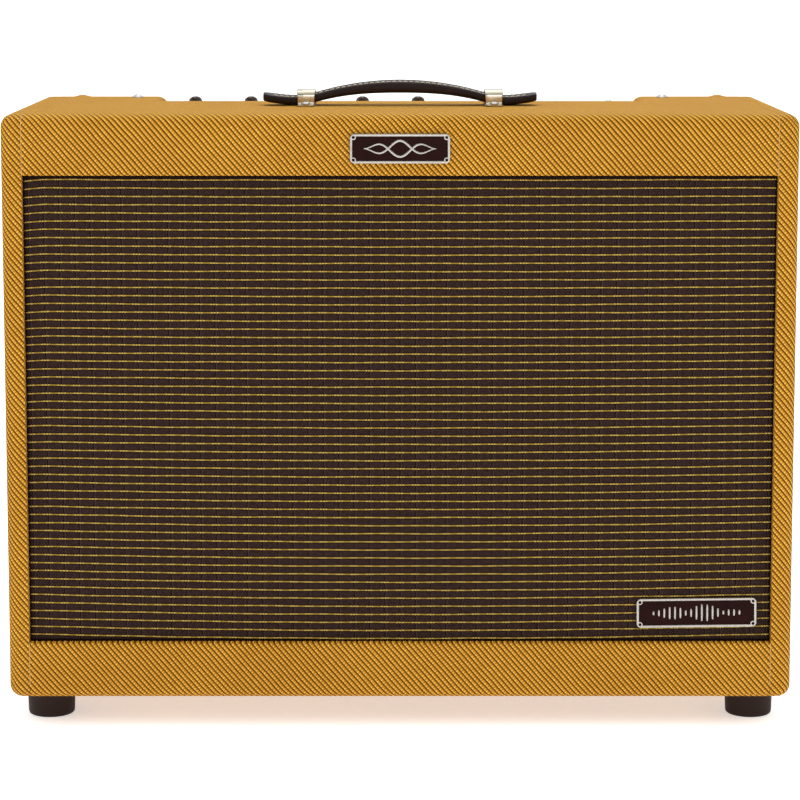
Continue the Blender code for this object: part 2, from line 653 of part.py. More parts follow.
def make_speaker():
    face = BAFFLE_BACK + GAP
    plate = face + 0.088
    wall = 0.0022
    # Pressed frame: a flat rim on the baffle, a sloping wall and a rear plate round the coil
    basket = [(FRAME_RADIUS, face), (FRAME_RADIUS, face + 0.003), (0.1452, face + 0.003)]
    basket += [(0.1452, face + 0.010), (0.139, face + 0.017), (0.098, face + 0.066), (0.084, face + 0.070)]
    basket += [(0.070, plate), (0.030, plate), (0.030, plate - wall), (0.068, plate - wall)]
    basket += [(0.081, face + 0.068), (0.095, face + 0.064), (0.1365, face + 0.015), (0.1425, face + 0.009)]
    basket += [(0.1425, face)]
    frame = speaker_piece("speaker_basket", basket, 40, STEEL, closed=True)
    windows = None
    for i in range(8):
        angle = math.radians(45 * i)
        half = math.radians(15)
        outline = []
        for radius, way in ((0.088, -1), (0.150, -1), (0.150, 1), (0.088, 1)):
            turn = angle + way * half
            outline.append((radius * math.cos(turn), radius * math.sin(turn)))
        window = prism(outline, face + 0.018, face + 0.060, "XZ")
        windows = join(windows, window) if windows else window
    boolean(frame, "basket_windows", windows, "DIFFERENCE", (0, 0, SPEAKER_Z))
    # Magnet ring between two plates, with a vented pole that the coil rides over
    back = plate + GAP
    gap_inner, gap_outer = 0.0205, 0.0245
    magnet = [(gap_outer, back), (0.060, back), (0.060, back + 0.006), (MAGNET_RADIUS, back + 0.006)]
    magnet += [(MAGNET_RADIUS, back + 0.030), (0.066, back + 0.030), (0.060, back + 0.038)]
    magnet += [(0.006, back + 0.038), (0.006, back - 0.001), (gap_inner, back - 0.001)]
    magnet += [(gap_inner, back + 0.024), (gap_outer, back + 0.024)]
    speaker_piece("speaker_magnet", magnet, 32, BLACK_PAINT, closed=True)
    # Cone with its dust cap and the coil former, one glued paper piece
    rim = face + 0.005
    neck = face + 0.062
    coil, skin = 0.0225, 0.0016
    cone = [(0, rim + 0.030), (0.020, rim + 0.035), (0.036, neck - 0.014), (0.080, rim + 0.030)]
    cone += [(CONE_RADIUS, rim)]
    cone += [(CONE_RADIUS, rim + skin), (0.080, rim + 0.030 + 2 * skin), (coil + skin / 2, neck)]
    cone += [(coil + skin / 2, back + 0.010), (coil - skin / 2, back + 0.010), (coil - skin / 2, neck - 0.006)]
    cone += [(0.018, rim + 0.035 + 2 * skin), (0, rim + 0.030 + 2 * skin)]
    speaker_piece("speaker_cone", cone, 32, PAPER)
    # Half-roll surround between the cone's rim and the frame's rim
    inner, outer = CONE_RADIUS + GAP, 0.1420
    middle, roll = (inner + outer) / 2, (outer - inner) / 2
    surround = []
    for step in range(5):
        angle = math.radians(180 - 45 * step)
        surround.append((middle + roll * math.cos(angle), rim - roll * 0.45 * math.sin(angle)))
    for step in range(5):
        angle = math.radians(45 * step)
        bulge = rim + 0.0014 - roll * 0.45 * math.sin(angle)
        surround.append((middle + (roll - 0.0012) * math.cos(angle), bulge))
    speaker_piece("speaker_surround", surround, 32, BLACK_PAINT, closed=True)
    # Corrugated spider that centres the coil in the frame's step
    spider_y = face + 0.0665
    start, end, folds = coil + skin / 2 + GAP, 0.0785, 7
    front_side, back_side = [], []
    for step in range(folds + 1):
        radius = start + (end - start) * step / folds
        wave = 0.0013 * (-1) ** step
        front_side.append((radius, spider_y + wave))
        back_side.append((radius, spider_y + wave + 0.0010))
    speaker_piece("speaker_spider", front_side + back_side[::-1], 28, SPIDER_CLOTH, closed=True)


def build():
    make_side_board("left_side_board", -1)
    make_side_board("right_side_board", 1)
    make_top_board()
    make_bottom_board()
    make_front_panel("upper_front_panel", GRILLE_TOP, UNDER_TOP_BOARD - GAP, GRILLE_TOP)
    make_front_panel("lower_front_panel", ABOVE_BOTTOM_BOARD + GAP, GRILLE_BOTTOM, GRILLE_BOTTOM)
    make_baffle()
    make_back_panel("upper_back_panel", UPPER_BACK_BOTTOM_Z, UNDER_TOP_BOARD - GAP)
    make_back_panel("lower_back_panel", ABOVE_BOTTOM_BOARD + GAP, LOWER_BACK_TOP_Z)
    for side, across in ((-1, "left"), (1, "right")):
        for way, along in ((-1, "front"), (1, "rear")):
            make_foot(f"foot_{along}_{across}", side * FOOT_X, way * FOOT_Y)
    make_badge("front_badge", FRONT_BADGE_SIZE, (0, FRONT_BADGE_Z), FRONT - GAP)
    make_badge("grille_badge", GRILLE_BADGE_SIZE, GRILLE_BADGE_PLACE, CLOTH_FRONT - GAP, GRILLE_BADGE_TILT)
    make_strap()
    for side, across in ((-1, "left"), (1, "right")):
        make_clip(f"handle_clip_{across}", side * CLIP_X)
        for way, along in ((-1, "front"), (1, "rear")):
            y = HANDLE_Y + way * CLIP_SCREW_OFFSET
            seat = TOP + GAP + CLIP_METAL
            make_screw(f"handle_screw_{across}_{along}", side * CLIP_X, y, seat, 0.0037, 0.0022, 0.0017, 0.014)
        seat = TOP
        x = side * CHASSIS_SCREW_X
        make_screw(f"chassis_screw_{across}", x, CHASSIS_SCREW_Y, seat, 0.0045, 0.0027, 0.0020, 0.022)
    make_chassis()
    make_control_panel()
    for number, x in enumerate(knob_positions(), start=1):
        shaft_low = make_pot(f"potentiometer_{number}", x)
        shaft_top = make_shaft(f"shaft_{number}", x, shaft_low)
        make_knob(f"knob_{number}", x, shaft_top)
    make_toggle()
    make_pilot_lamp()
    make_jack()
    make_valve("preamp_valve_1", -0.095, 0.0105, 0.040)
    make_valve("preamp_valve_2", -0.050, 0.0105, 0.040)
    make_valve("power_valve_1", 0.005, 0.0165, 0.058)
    make_valve("power_valve_2", 0.060, 0.0165, 0.058)
    make_transformer("power_transformer", 0.150, 0.076, 0.058, 0.052)
    make_transformer("output_transformer", -0.180, 0.062, 0.048, 0.046)
    make_circuit_board()
    make_mains_inlet()
    make_speaker()


build()
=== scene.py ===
"""Visual model of the guitar combo amplifier, round its CAD frame. Metres, +Z up, grille towards -Y."""

import json
from math import atan2, copysign, cos, exp, pi, radians, sin, sqrt

import bmesh
import bpy
from mathutils import Matrix, Vector


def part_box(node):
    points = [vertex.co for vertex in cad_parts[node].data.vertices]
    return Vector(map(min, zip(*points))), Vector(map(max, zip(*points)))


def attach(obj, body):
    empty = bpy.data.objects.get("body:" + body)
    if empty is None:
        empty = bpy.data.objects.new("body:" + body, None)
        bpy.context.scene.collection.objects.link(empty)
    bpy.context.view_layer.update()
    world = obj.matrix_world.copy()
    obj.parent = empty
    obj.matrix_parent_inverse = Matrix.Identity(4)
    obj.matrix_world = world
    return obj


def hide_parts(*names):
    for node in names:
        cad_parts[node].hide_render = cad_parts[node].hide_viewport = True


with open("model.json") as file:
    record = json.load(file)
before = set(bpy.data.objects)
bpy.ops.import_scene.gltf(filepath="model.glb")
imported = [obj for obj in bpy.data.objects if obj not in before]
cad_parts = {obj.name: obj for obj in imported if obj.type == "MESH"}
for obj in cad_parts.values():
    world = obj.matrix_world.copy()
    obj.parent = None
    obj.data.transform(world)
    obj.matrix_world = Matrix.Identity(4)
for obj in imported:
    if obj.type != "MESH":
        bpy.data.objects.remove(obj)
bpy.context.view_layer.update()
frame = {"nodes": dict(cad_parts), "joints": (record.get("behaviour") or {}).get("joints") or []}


def middle(node):
    return sum(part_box(node), Vector()) / 2


# ---------------------------------------------------------------- sizes read from the frame
SIDE_LOW, SIDE_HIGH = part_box("right_side_board")
HALF_WIDTH, FRONT, BACK = SIDE_HIGH.x, SIDE_LOW.y, SIDE_HIGH.y
FLOOR_OF_CABINET, TOP = SIDE_LOW.z, SIDE_HIGH.z
INNER = SIDE_LOW.x
PANEL_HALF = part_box("upper_front_panel")[1].x
GRILLE_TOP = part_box("upper_front_panel")[0].z
GRILLE_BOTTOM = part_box("lower_front_panel")[1].z
CLOTH_LOW, CLOTH_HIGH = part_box("grille_cloth")
CONTROL_PANEL_LOW, CONTROL_PANEL_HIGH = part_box("control_panel")
BASKET_LOW, BASKET_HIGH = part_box("speaker_basket")
CONTROL_Y = 0.088
# The rounded edges of the cabinet, and the hairline gap that the frame leaves between parts.
EDGE = 0.010
NOTCH_EDGE = 0.009
GAP = 0.0003
NOTCH_HALF = CONTROL_PANEL_HIGH.x + GAP
NOTCH_FRONT = CONTROL_PANEL_LOW.y - GAP


# ---------------------------------------------------------------- finishes
def srgb(red, green, blue, alpha=1.0):
    """Linear colour of an 8-bit display colour."""
    levels = [c / 255 for c in (red, green, blue)]
    return (*(c / 12.92 if c <= 0.0393 else ((c + 0.055) / 1.055) ** 2.4 for c in levels), alpha)


def shade(colour, factor, lift=0.0):
    return srgb(*(min(255, c * factor + lift) for c in colour))


class Finish:
    """A material under construction. Methods that add a node return the output that is used."""

    def __init__(self, name, colour, roughness=0.5, metallic=0.0, **sockets):
        self.material = bpy.data.materials.new(name)
        self.material.use_nodes = True
        self.tree = self.material.node_tree
        self.shader = next(n for n in self.tree.nodes if n.type == "BSDF_PRINCIPLED")
        self.position = self.add("TexCoord", output=3)
        sockets.update(Base_Color=srgb(*colour), Roughness=roughness, Metallic=metallic)
        for socket, value in sockets.items():
            self.put(self.shader, socket.replace("_", " "), value)

    def put(self, node, socket, value):
        if isinstance(value, bpy.types.NodeSocket):
            self.tree.links.new(value, node.inputs[socket])
        else:
            node.inputs[socket].default_value = value

    def colour(self, value):
        self.put(self.shader, "Base Color", value)

    def roughness(self, value):
        self.put(self.shader, "Roughness", value)

    def relief(self, height, depth, under=None):
        """Bumps the surface by a height, over the relief that is already under it."""
        inputs = {"Height": height, "Distance": depth}
        if under is not None:
            inputs["Normal"] = under
        output = self.add("Bump", inputs)
        self.put(self.shader, "Normal", output)
        return output

    def add(self, kind, inputs=None, output=0, **properties):
        node = self.tree.nodes.new("ShaderNode" + kind)
        for name, value in properties.items():
            setattr(node, name, value)
        for socket, value in (inputs or {}).items():
            self.put(node, socket, value)
        return node.outputs[output]

    def math(self, operation, *values):
        return self.add("Math", dict(enumerate(values)), operation=operation)

    def linear(self, value, factor, offset=0.0):
        return self.math("MULTIPLY_ADD", value, factor, offset)

    def wave(self, value, factor):
        return self.math("SINE", self.math("MULTIPLY", value, factor))

    def mapped(self, value, low, high, new_low=0.0, new_high=1.0):
        inputs = dict(enumerate((value, low, high, new_low, new_high)))
        return self.add("MapRange", inputs, interpolation_type="SMOOTHSTEP")

    def ramp(self, value, *stops):
        output = self.add("ValToRGB", {0: value})
        fill_ramp(output.node, stops)
        return output

    def mix(self, factor, first, second, blend="MIX"):
        inputs = {0: factor, 6: first, 7: second}
        return self.add("Mix", inputs, output=2, data_type="RGBA", blend_type=blend)

    def noise(self, scale, detail=2.0, roughness=0.5, place=None):
        inputs = {"Scale": scale, "Detail": detail, "Roughness": roughness}
        return self.add("TexNoise", {"Vector": place or self.position, **inputs})

    def stretched(self, *scale, place=None):
        return self.add("Mapping", {"Vector": place or self.position, "Scale": scale})

    def weave(self):
        return self.add("Attribute", output=1, attribute_name="weave")

    def split(self, vector):
        return self.add("SeparateXYZ", {0: vector}).node.outputs


def fill_ramp(node, stops):
    elements = node.color_ramp.elements
    while len(elements) < len(stops):
        elements.new(0.5)
    for element, (place, colour) in zip(elements, stops):
        element.position, element.color = place, colour


def mottled(name, colour, roughness, scale=60, spread=0.12, grain=900, depth=0.00005, **sockets):
    """A finish with patches of tone and gloss at one scale and a fine grain at another."""
    f = Finish(name, colour, roughness, **sockets)
    patches = f.noise(scale, 4.0, 0.6)
    f.colour(f.ramp(patches, (0.3, shade(colour, 1 - spread)), (0.7, shade(colour, 1 + spread, 2))))
    f.roughness(f.mapped(patches, 0.3, 0.7, max(0.02, roughness - spread), min(1.0, roughness + spread)))
    f.relief(f.noise(grain, 3.0, 0.6), depth)
    return f.material


TWILL_PITCH = 0.00326
TWILL_ANGLE = radians(48.7)
YARN_LENGTH = 0.0023


def tweed_finish():
    """Lacquered diagonal twill: a light and an orange thread to each rib, with a dark gap between ribs."""
    f = Finish("tweed_cloth", (180, 129, 45), 0.6, Specular_IOR_Level=0.02)
    cloth = f.weave()
    u, v, _ = f.split(cloth)
    wander = f.linear(f.noise(38.0, 3.0, place=cloth), 0.34, -0.17)
    climb = f.math("MULTIPLY", v, cos(TWILL_ANGLE) / TWILL_PITCH)
    across = f.math("ADD", f.linear(u, sin(TWILL_ANGLE) / TWILL_PITCH, climb), wander)
    drop = f.math("MULTIPLY", v, -sin(TWILL_ANGLE) / YARN_LENGTH)
    along = f.linear(u, cos(TWILL_ANGLE) / YARN_LENGTH, drop)
    place_in_rib, rib = f.math("FRACT", across), f.math("FLOOR", across)
    gap = srgb(82, 50, 8)
    light_thread = [(0.29, srgb(255, 208, 112)), (0.46, srgb(254, 198, 92)), (0.53, srgb(190, 126, 22))]
    orange_thread = [(0.60, srgb(236, 168, 42)), (0.77, srgb(228, 158, 36))]
    threads = f.ramp(place_in_rib, (0.0, gap), (0.18, gap), *light_thread, *orange_thread, (0.88, gap))
    # The yarns cross the rib in short beads, half a bead out of step from rib to rib.
    bead = f.math("ABSOLUTE", f.wave(f.linear(rib, 0.5, along), pi))
    # Painted shade: the colour darkens in the dips between beads, where the raised yarns shade each other.
    toned = f.mix(f.mapped(bead, 0.10, 0.80, 0.78, 0.0), threads, srgb(134, 84, 14))
    toned = f.mix(f.mapped(f.noise(700.0), 0.35, 0.65, 0.22, 0.0), toned, srgb(150, 96, 26))
    # Slubs: single yarns and larger patches differ in tone.
    yarn = f.add("CombineXYZ", {0: rib, 1: f.math("MULTIPLY", along, 0.11)})
    toned = f.mix(f.mapped(f.noise(3.0, place=yarn), 0.35, 0.65, 0.0, 0.22), toned, srgb(150, 94, 18))
    patches = f.noise(9.0, 4.0, 0.6, place=cloth)
    toned = f.mix(f.mapped(patches, 0.35, 0.7, 0.0, 0.14), toned, srgb(170, 112, 38), "MULTIPLY")
    # Painted highlight: the faces within 5 mm of the top are painted paler, standing in for the sheen of
    # light across the top.
    _, _, height = f.split(f.position)
    f.colour(f.mix(f.mapped(height, TOP - 0.005, TOP, 0.0, 0.16), toned, srgb(222, 184, 96)))
    f.relief(f.linear(bead, 0.22, f.math("POWER", f.wave(place_in_rib, pi), 0.6)), 0.00042)
    f.roughness(f.mapped(bead, 0.0, 1.0, 0.72, 0.5))
    return f.material


def plywood_finish():
    """Pale veneer with its grain along X and Y, darkened by age."""
    f = Finish("plywood", (205, 172, 128), 0.6)
    grain = f.noise(1.0, 6.0, 0.62, f.stretched(9.0, 9.0, 160.0))
    rings = f.noise(1.0, 3.0, 0.5, f.stretched(4.0, 4.0, 38.0))
    pale, deep = srgb(214, 184, 140), srgb(178, 138, 90)
    f.colour(f.mix(f.mapped(rings, 0.4, 0.62, 0.0, 0.6), f.ramp(grain, (0.32, deep), (0.68, pale)), deep))
    f.relief(grain, 0.00012)
    return f.material


def leather_finish():
    """Dark brown leather: small pebbles with creases between them."""
    f = Finish("strap_leather", (34, 22, 21), 0.42, Specular_IOR_Level=0.16)
    patches = f.noise(60.0, 4.0, 0.6)
    f.colour(f.ramp(patches, (0.3, srgb(26, 15, 15)), (0.72, srgb(42, 28, 27))))
    f.roughness(f.mapped(patches, 0.3, 0.7, 0.34, 0.5))
    pebbles = f.add("TexVoronoi", {"Vector": f.position, "Scale": 900.0}, feature="SMOOTH_F1")
    f.relief(pebbles, 0.00016, f.relief(f.noise(260.0, 4.0), 0.0002))
    return f.material


def thread_finish(name, colour, twist=1500.0):
    f = Finish(name, colour, 0.6, Sheen_Weight=0.2)
    strands = f.noise(twist)
    f.colour(f.ramp(strands, (0.3, shade(colour, 0.78)), (0.7, srgb(*colour))))
    f.relief(strands, 0.0001)
    return f.material


# The warp threads of the grille cloth lie in groups. Each group has three light beads on every stripe.
GROUP_PITCH = 0.01187
FIRST_GROUP_X = -0.2734
BEAD_PITCH = 0.0022
WARP_PITCH = 0.0021


def warp_groups(f, x, sway=0.0):
    """Place within the group of warp threads at x, from 0 to 1."""
    column = f.linear(x, 1 / GROUP_PITCH, -FIRST_GROUP_X / GROUP_PITCH + 8)
    return f.math("FRACT", f.linear(sway, 0.5, column) if sway else column)


def cloth_finish():
    """Dark grille cloth. The weave attribute holds x, the row and the distance from the border."""
    f = Finish("grille_cloth", (52, 38, 34), 0.8, Specular_IOR_Level=0.02)
    cloth = f.weave()
    x, row, border = f.split(cloth)
    group = warp_groups(f, x)
    off_stripe = f.math("ABSOLUTE", f.math("SUBTRACT", f.math("FRACT", f.math("ADD", row, 100.5)), 0.5))
    check = f.math("MULTIPLY", f.wave(x, 2 * pi / WARP_PITCH), f.wave(row, 2 * pi * 3.0))
    base = f.mix(f.mapped(off_stripe, 0.08, 0.26), srgb(42, 21, 21), srgb(69, 52, 46))
    base = f.mix(f.mapped(check, -0.6, 0.6, 0.0, 0.85), base, srgb(30, 19, 16))
    yarns = f.noise(1.0, place=f.stretched(420.0, 2.4, 0.0, place=cloth))
    base = f.mix(f.mapped(yarns, 0.35, 0.65, 0.0, 0.4), base, srgb(30, 18, 17))
    # A raised warp thread in each group, drawn as a dark line with a pale line beside it: the pale line is
    # a painted highlight and the dark line the painted shadow of the thread.
    raised_thread_light_and_shade = [(0.02, 0.05, 0.85, (26, 14, 15)), (0.12, 0.035, 0.3, (84, 68, 58))]
    for place, width, strength, tone in raised_thread_light_and_shade:
        thread = f.math("COMPARE", group, place, width)
        base = f.mix(f.math("MULTIPLY", thread, strength), base, srgb(*tone))
    patches = f.noise(14.0, 3.0, place=cloth)
    base = f.mix(f.mapped(patches, 0.3, 0.7, 0.0, 0.25), base, srgb(38, 25, 24))
    # Painted shade: the cloth darkens within 3 mm of the edges of the opening, where the recess shades it.
    f.colour(f.mix(f.mapped(border, 0.0008, 0.0030, 0.8, 0.0), base, srgb(12, 5, 5)))
    f.relief(check, 0.00022)
    return f.material


def gold_thread_finish():
    """Gold stripe: three beads to each warp group, orange where the cloth turns in at the left, and painted
    shade at both sides.
    """
    f = Finish("gold_thread", (150, 124, 50), 0.5, Specular_IOR_Level=0.15)
    x, border, _ = f.split(f.weave())
    group = warp_groups(f, x, f.noise(1.0, place=f.stretched(14.0, 0.0, 170.0)))
    bead = f.math("ABSOLUTE", f.wave(group, pi * GROUP_PITCH / BEAD_PITCH))
    in_beads = f.math("LESS_THAN", group, 3 * BEAD_PITCH / GROUP_PITCH)
    shine = f.math("MULTIPLY", f.mapped(bead, 0.25, 0.9), in_beads)
    plain = f.mix(f.noise(500.0), srgb(138, 110, 42), srgb(160, 130, 53))
    gold = f.mix(shine, plain, srgb(194, 166, 80))
    gold = f.mix(f.mapped(x, -0.2883, -0.2830, 0.6, 0.0), gold, srgb(156, 98, 28))
    # Painted shade: the stripes darken within 2 mm of the sides of the opening, where the recess shades
    # them.
    f.colour(f.mix(f.mapped(border, 0.0004, 0.0022, 0.9, 0.0), gold, srgb(20, 9, 7)))
    f.relief(f.noise(1400.0), 0.0001)
    return f.material


def brushed(name, colour, roughness, along=(6.0, 900.0, 900.0), depth=0.00002):
    """Plated or brushed metal: fine lines and a few smudges."""
    f = Finish(name, colour, roughness, 1.0)
    lines = f.noise(1.0, 3.0, 0.6, f.stretched(*along))
    smudge = f.noise(26.0, 3.0)
    sheen = f.mapped(lines, 0.3, 0.7, roughness * 0.8, roughness * 1.2)
    f.roughness(f.math("ADD", sheen, f.linear(smudge, 0.08)))
    f.colour(f.ramp(smudge, (0.3, shade(colour, 0.93)), (0.7, srgb(*colour))))
    f.relief(lines, depth)
    return f.material


def zinc_finish():
    """Zinc-plated sheet with faint crystals."""
    f = Finish("zinc_sheet", (176, 178, 180), 0.36, 1.0)
    crystals = f.add("TexVoronoi", {"Vector": f.position, "Scale": 380.0}, output=1)
    grey = f.add("RGBToBW", {0: crystals})
    f.colour(f.ramp(grey, (0.2, srgb(168, 170, 172)), (0.8, srgb(186, 188, 188))))
    f.roughness(f.mapped(grey, 0.2, 0.8, 0.31, 0.39))
    f.relief(f.noise(300.0, 3.0), 0.00003)
    return f.material


def lamination_finish():
    """A stack of thin iron sheets, seen on edge, under black lacquer."""
    f = Finish("laminations", (52, 50, 50), 0.45, 0.4)
    sheets = f.math("FRACT", f.math("MULTIPLY", f.split(f.position)[1], 1 / 0.0006))
    rust = f.ramp(f.noise(90.0, 4.0), (0.35, srgb(78, 76, 76)), (0.75, srgb(98, 74, 56)))
    f.colour(f.mix(f.mapped(sheets, 0.0, 0.5, 0.0, 0.6), srgb(30, 29, 29), rust))
    f.relief(f.math("PINGPONG", sheets, 0.5), 0.0002)
    return f.material


def cone_finish():
    """Pressed grey-black pulp with long fibres."""
    f = Finish("cone_pulp", (50, 48, 46), 0.85)
    fibres = f.noise(1.0, 5.0, 0.7, f.stretched(420.0, 120.0, 420.0))
    f.colour(f.ramp(fibres, (0.3, srgb(34, 32, 31)), (0.75, srgb(74, 70, 66))))
    f.relief(fibres, 0.0003)
    return f.material


def glass(name, colour, roughness, transmission=1.0, **sockets):
    f = Finish(name, colour, roughness, Transmission_Weight=transmission, IOR=1.48, **sockets)
    f.relief(f.noise(90.0), 0.00003)
    return f.material


TWEED = tweed_finish()
PLYWOOD = plywood_finish()
LEATHER = leather_finish()
STITCH = thread_finish("stitch_thread", (226, 218, 200))
SEAM = thread_finish("covering_edge", (224, 178, 96), 700.0)
CLOTH = cloth_finish()
GOLD = gold_thread_finish()
NICKEL = brushed("nickel_plate", (198, 190, 172), 0.05, (300.0, 300.0, 300.0), 0.00001)
CHROME = brushed("bright_plate", (186, 184, 180), 0.06, (240.0, 240.0, 240.0), 0.00001)
PANEL = brushed("panel_plate", (168, 170, 174), 0.26, depth=0.00003)
RIM = brushed("badge_rim", (192, 186, 178), 0.38, (400.0, 400.0, 400.0))
GETTER = brushed("getter_mirror", (190, 192, 196), 0.12)
ZINC = zinc_finish()
IRON = lamination_finish()
PULP = cone_finish()
RUBBER = mottled("foot_rubber", (42, 29, 25), 0.62, grain=1800, depth=0.00012, Specular_IOR_Level=0.15)
BADGE_FIELD = mottled("badge_enamel", (36, 16, 15), 0.5, spread=0.08, grain=300, Specular_IOR_Level=0.03)
KNOB = mottled("knob_moulding", (44, 26, 24), 0.36, spread=0.10, Specular_IOR_Level=0.05)
INDEX = mottled("white_filling", (232, 228, 216), 0.5, spread=0.05)
PRINT = mottled("panel_print", (28, 28, 30), 0.55, spread=0.05)
BLACK_PLASTIC = mottled("black_moulding", (30, 30, 31), 0.42, spread=0.15)
BLACK_PAINT = mottled("baffle_paint", (26, 25, 25), 0.75, scale=30, grain=400, depth=0.0002)
BELL = mottled("bell_paint", (34, 34, 36), 0.3, spread=0.15, grain=500, depth=0.00008)
FIBRE = mottled("board_fibre", (140, 108, 66), 0.7, scale=120)
FRAME_PAINT = mottled("frame_enamel", (84, 86, 90), 0.38, metallic=0.3, scale=200, grain=700, depth=0.0001)
FERRITE = mottled("ferrite", (40, 40, 42), 0.5, scale=150, grain=600, depth=0.00015)
SURROUND = mottled("doped_cloth", (30, 30, 31), 0.5, scale=300, grain=1200, depth=0.0002)
SPIDER = mottled("resin_cloth", (176, 134, 78), 0.8, scale=300, grain=1300, depth=0.0003)
ANODE = mottled("anode_carbon", (62, 62, 64), 0.6, metallic=0.3, scale=160)
MICA = mottled("mica", (196, 186, 160), 0.35, spread=0.06)
GLASS = glass("valve_glass", (236, 240, 240), 0.01)
AMBER_GLOW = {"Emission_Color": srgb(255, 120, 10), "Emission_Strength": 0.12}
AMBER = glass("amber_lens", (255, 150, 20), 0.04, 0.75, **AMBER_GLOW)


# ---------------------------------------------------------------- mesh building
def spread(low, high, steps):
    """Evenly spaced values from low to high, both included."""
    return [low + (high - low) * i / steps for i in range(steps + 1)]


def skin(rings, caps=True, loop=False):
    """Joins rings of points. The ends are filled, or the last ring meets the first."""
    count = len(rings[0])
    verts = [tuple(p) for ring in rings for p in ring]
    faces = []
    for r in range(len(rings) if loop else len(rings) - 1):
        a, b = r * count, (r + 1) % len(rings) * count
        faces += [(a + i, a + (i + 1) % count, b + (i + 1) % count, b + i) for i in range(count)]
    if caps and not loop:
        faces.append(tuple(range(count))[::-1])
        faces.append(tuple(range(len(verts) - count, len(verts))))
    return verts, faces


def circle(radius, z=0.0, count=32):
    return [(radius * cos(2 * pi * i / count), radius * sin(2 * pi * i / count), z) for i in range(count)]


def turned(profile, count=32, loop=False):
    """Turns (radius, height) points about Z."""
    return skin([circle(max(r, 1e-7), z, count) for r, z in profile], caps=not loop, loop=loop)


def turned_sheet(radii, height, thickness, count=96):
    """A thin sheet turned about the axis, with its front at height(radius)."""
    front = [(radius, height(radius)) for radius in radii]
    back = [(radius, height(radius) + thickness) for radius in reversed(radii)]
    return turned(front + back, count, loop=True)


def washer(inner, outer, low, high, count=32):
    """A flat ring between two radii and two heights."""
    return turned([(inner, low), (outer, low), (outer, high), (inner, high)], count, loop=True)


def arc(centre, radius, start, end, steps):
    """Points on an arc, angles in degrees."""
    angles = [radians(angle) for angle in spread(start, end, steps)]
    return [(centre[0] + radius * cos(t), centre[1] + radius * sin(t)) for t in angles]


def tube(path, radius, sides=8, closed=False):
    """A tube along points, its radius a number or one for each point."""
    points = [Vector(p) for p in path]
    count = len(points)
    radii = radius if hasattr(radius, "__len__") else [radius] * count
    rings, normal = [], None
    for i, p in enumerate(points):
        before = points[i - 1] if i or closed else p
        after = points[(i + 1) % count] if closed or i < count - 1 else p
        tangent = (after - before).normalized()
        if normal is None:
            normal = tangent.orthogonal().normalized()
        normal = (normal - tangent * normal.dot(tangent)).normalized()
        other = tangent.cross(normal)
        angles = [2 * pi * k / sides for k in range(sides)]
        rings.append([p + (normal * cos(t) + other * sin(t)) * radii[i] for t in angles])
    return skin(rings, caps=not closed, loop=closed)


def rounded_outline(width, height, radius, steps=5):
    x, y = width / 2 - radius, height / 2 - radius
    points = []
    for centre, start in (((x, y), 0), ((-x, y), 90), ((-x, -y), 180), ((x, -y), 270)):
        points += arc(centre, radius, start, start + 90, steps)
    return points


def inset_ring(outline, z, inset):
    """An (x, y) outline at a height, moved in along its own normals."""
    ring = []
    for i, (x, y) in enumerate(outline):
        before, after = outline[i - 1], outline[(i + 1) % len(outline)]
        inward = Vector((before[1] - after[1], after[0] - before[0])).normalized() * inset
        ring.append((x + inward.x, y + inward.y, z))
    return ring


def slab(outline, levels):
    """Stacks an outline at (z, inset) levels."""
    return skin([inset_ring(outline, z, inset) for z, inset in levels])


def box_mesh(low, high):
    bm = bmesh.new()
    bmesh.ops.create_cube(bm, size=1.0)
    for vertex in bm.verts:
        vertex.co = Vector(low[i] + (vertex.co[i] + 0.5) * (high[i] - low[i]) for i in range(3))
    return bm


def face_outward(bm):
    bmesh.ops.recalc_face_normals(bm, faces=bm.faces[:])


def bevel(bm, edges, radius, segments):
    options = {"offset_type": "OFFSET", "profile": 0.5, "affect": "EDGES"}
    bmesh.ops.bevel(bm, geom=edges, offset=radius, segments=segments, **options)


def rounded_box(low, high, radius, segments=3):
    """A box with all its edges rounded."""
    bm = box_mesh(low, high)
    bevel(bm, bm.edges[:], radius, segments)
    bm.verts.index_update()
    verts = [tuple(v.co) for v in bm.verts]
    faces = [tuple(v.index for v in f.verts) for f in bm.faces]
    bm.free()
    return verts, faces


def corners(x, y):
    """The four corners of a rectangle about the origin, from its half sizes."""
    return [(x * side, y * end) for side in (-1, 1) for end in (-1, 1)]


class Shape:
    """Vertices and faces gathered from several parts, each with its own finish."""

    def __init__(self):
        self.verts, self.faces, self.marks, self.finishes = [], [], [], []

    def add(self, part, finish, matrix=None):
        verts, faces = part
        if matrix is not None:
            verts = [tuple(matrix @ Vector(v)) for v in verts]
        if finish not in self.finishes:
            self.finishes.append(finish)
        start = len(self.verts)
        self.verts += verts
        self.faces += [tuple(start + i for i in face) for face in faces]
        self.marks += [self.finishes.index(finish)] * len(faces)
        return self

    def mesh(self):
        bm = bmesh.new()
        points = [bm.verts.new(v) for v in self.verts]
        for face, mark in zip(self.faces, self.marks):
            bm.faces.new([points[i] for i in face]).material_index = mark
        return bm

    def solid(self, name):
        """A plain object for cutting, outside the model."""
        bm = self.mesh()
        face_outward(bm)
        mesh = bpy.data.meshes.new(name)
        bm.to_mesh(mesh)
        bm.free()
        return link(name, mesh)

    def make(self, name, slot, body="cabinet", replaces=(), sharp=35):
        bm = self.mesh()
        bmesh.ops.remove_doubles(bm, verts=bm.verts[:], dist=2e-6)
        face_outward(bm)
        return publish(bm, name, self.finishes, body, replaces, sharp)


def link(name, data):
    thing = bpy.data.objects.new(name, data)
    bpy.context.scene.collection.objects.link(thing)
    return thing


